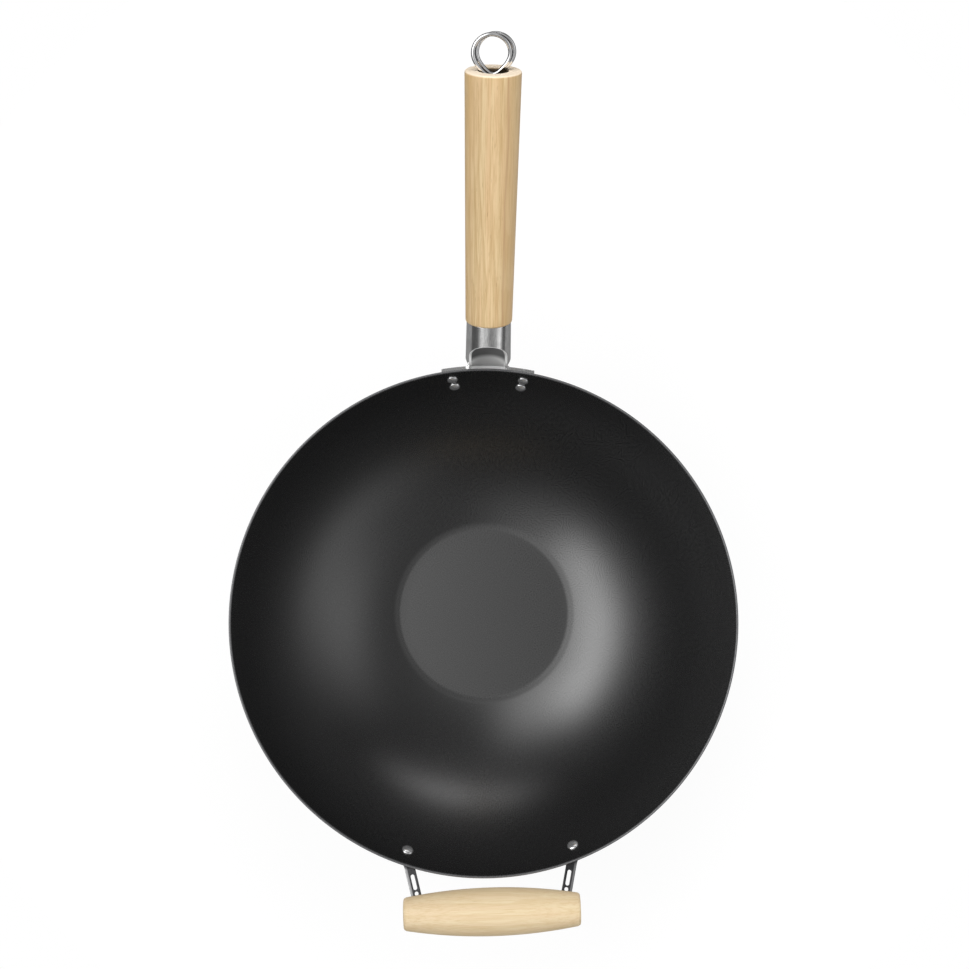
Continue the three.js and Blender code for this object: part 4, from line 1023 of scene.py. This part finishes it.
def make_floor():
    """A round pale sheet under the wok, white to the eye and dim in the metal."""
    made, tree, shader = finish_of("floor_pale")
    tree.nodes.remove(shader)
    path = add(tree, "ShaderNodeLightPath").outputs
    clear = calc(tree, "MAXIMUM", path["Is Camera Ray"], path["Is Transmission Ray"])
    glossy = path["Is Glossy Ray"]
    plain_share = times(tree, clear, 0.92)
    seen = calc(tree, "MAXIMUM", plain_share, times(tree, glossy, 0.3))
    glow = calc(tree, "MAXIMUM", clear, times(tree, glossy, 0.2))
    pale = blended(tree, glossy, (0.88, 0.88, 0.88, 1), (0.25, 0.25, 0.25, 1))
    matt = add(tree, "ShaderNodeBsdfDiffuse", {"Color": pale})
    white = add(tree, "ShaderNodeEmission", {"Color": (1, 1, 1, 1), "Strength": glow})
    mix = add(tree, "ShaderNodeMixShader", {0: seen, 1: matt.outputs[0], 2: white.outputs[0]})
    tree.links.new(mix.outputs[0], tree.nodes["Material Output"].inputs["Surface"])
    ring = [(FLOOR_RADIUS * math.cos(t), FLOOR_RADIUS * math.sin(t)) for t in circle(FLOOR_SIDES)]
    mesh = bpy.data.meshes.new("floor")
    mesh.from_pydata([(x, FLOOR_MIDDLE + y, FLOOR_LEVEL) for x, y in ring], [], [range(FLOOR_SIDES)])
    mesh.materials.append(made)
    linked("floor", mesh)


PANEL_INPUTS = ("Azimuth", "Height", "Half Width", "Half Height", "Brightness")
PANELS = (
    # azimuth and height of the middle, half width and half height in degrees, brightness
    (150, 43, 15, 7, 4.5),
    (180, 43, 15, 7.5, 4.2),
    (210, 43, 15, 7, 3.4),
    (122, 49, 18, 9, 1.75),
    (242, 48, 24, 12, 0.5),
    (195, 30, 35, 6.5, 0.32),
    (195, 74, 55, 10, 1.5),
    (185, 58, 48, 6, 1.3),
    (185, 82, 55, 6, 1.0),
    (10, 75, 50, 8, 0.45),
    (0, 90, 360, 8, 0.05),
    (0, 48, 360, 18, 0.13),
    (318, 30, 26, 12, 0.18),
    (40, 58, 40, 7, 0.1),
    (95, 66, 38, 8, 0.5),
    (305, 66, 38, 8, 0.3),
    (0, 32, 25, 8, 0.85),
    (338, 16, 34, 8, 0.75),
    (82, 17, 19, 3, 2.9),
    (90, 27, 20, 6, 0.12),
)
FILLS = (
    # lamps that light the wood and stay out of the reflections: azimuth, height in degrees, watts
    ("fill_right", 0, 25, 9.1),
    ("fill_back", 90, 40, 20.4),
    ("fill_front", 270, 35, 8.1),
)
FILL_DISTANCE, FILL_SIZE, FILL_AIM = 1.7, 1.0, 0.12
FOCAL_PIXELS, PHOTO_PIXELS, SENSOR_WIDTH = 1703, 969, 36.0
CAMERA_PLACE, CAMERA_TURN, CAMERA_REACH = (-0.000995, 0.0971, 1.2885), 1.0, 50


def soft_panel():
    """Brightness of one diffusing panel of the studio, by the direction it is seen in."""
    inputs = {"Direction": "Vector", **dict.fromkeys(PANEL_INPUTS, "Float")}
    tree, given, out = open_tree("soft_panel", "ShaderNodeTree", inputs, {"Value": "Float"})
    part = split(tree, given["Direction"])
    turn = calc(tree, "DEGREES", calc(tree, "ARCTAN2", part[1], part[0]))
    swing = calc(tree, "WRAP", minus(tree, turn, given["Azimuth"]), 180.0, -180.0)
    rise = calc(tree, "DEGREES", calc(tree, "ARCSINE", part[2]))
    share = given["Brightness"]
    lift = minus(tree, rise, given["Height"])
    for away, half in ((swing, "Half Width"), (lift, "Half Height")):
        off = calc(tree, "DIVIDE", calc(tree, "ABSOLUTE", away), given[half])
        share = times(tree, share, fitted(tree, off, 0.0, 2.0, 1.0, 0.0))
    tree.links.new(share, out.inputs[0])
    return tree


def make_world():
    """Dark studio with soft panels around and above, fill lamps, and plain white behind the wok."""
    world = bpy.data.worlds.new("studio")
    bpy.context.scene.world = world
    world.use_nodes = True
    tree = world.node_tree
    way = add(tree, "ShaderNodeTexCoord").outputs["Generated"]
    path = add(tree, "ShaderNodeLightPath").outputs
    light = calc(tree, "ADD", 0.05, times(tree, path["Is Glossy Ray"], 0.03))
    panel = soft_panel()
    for values in PANELS:
        inputs = {"Direction": way, **dict(zip(PANEL_INPUTS, values))}
        lit = add(tree, "ShaderNodeGroup", inputs, node_tree=panel).outputs[0]
        light = calc(tree, "ADD", light, lit)
    seen = calc(tree, "MAXIMUM", path["Is Camera Ray"], path["Is Transmission Ray"])
    grey = add(tree, "ShaderNodeCombineColor", {0: light, 1: light, 2: light}).outputs[0]
    shown = blended(tree, seen, grey, (1, 1, 1, 1))
    tree.links.new(shown, tree.nodes["Background"].inputs["Color"])
    for name, azimuth, height, watts in FILLS:
        lamp = bpy.data.lights.new(name, "AREA")
        lamp.energy, lamp.size = watts, FILL_SIZE
        turn, rise = rad(azimuth), rad(height)
        level = math.cos(rise)
        way = Vector((level * math.cos(turn), level * math.sin(turn), math.sin(rise)))
        made = linked(name, lamp)
        made.location = Vector((0, FLOOR_MIDDLE, FILL_AIM)) + way * FILL_DISTANCE
        made.rotation_euler = way.to_track_quat("Z", "Y").to_euler()
        made.visible_glossy = made.visible_camera = False


def make_camera():
    data = bpy.data.cameras.new("view")
    data.sensor_fit, data.sensor_width = "HORIZONTAL", SENSOR_WIDTH
    data.lens = FOCAL_PIXELS / PHOTO_PIXELS * SENSOR_WIDTH
    data.clip_end = CAMERA_REACH
    made = linked("view", data)
    made.location = CAMERA_PLACE
    made.rotation_euler = (0, 0, rad(CAMERA_TURN))
    bpy.context.scene.camera = made


make_camera()
make_world()
make_floor()
make_bowl()
make_all_rivets()
make_bracket()
make_long_handle()
make_eye_rod()
legs = [Leg(-1), Leg(1)]
leg_steel = grouped_finish(
    "steel_leg",
    METAL,
    ((0, 0, 0), (0, 0, rad(HELPER_TURN))),
    metal_values((0.1, 0.1, 0.103), (0.05, 0.05, 0.053), 0.28, 0.42),
    depth=0.000008,
    tone=leg_painted_highlight(legs[1]),
    Metallic=1.0,
)
make_leg(legs[0], "helper_arm_left", leg_steel)
make_leg(legs[1], "helper_arm_right", leg_steel)
make_grip(legs)
dress_fixings()

bpy.context.scene.view_settings.view_transform = "Standard"
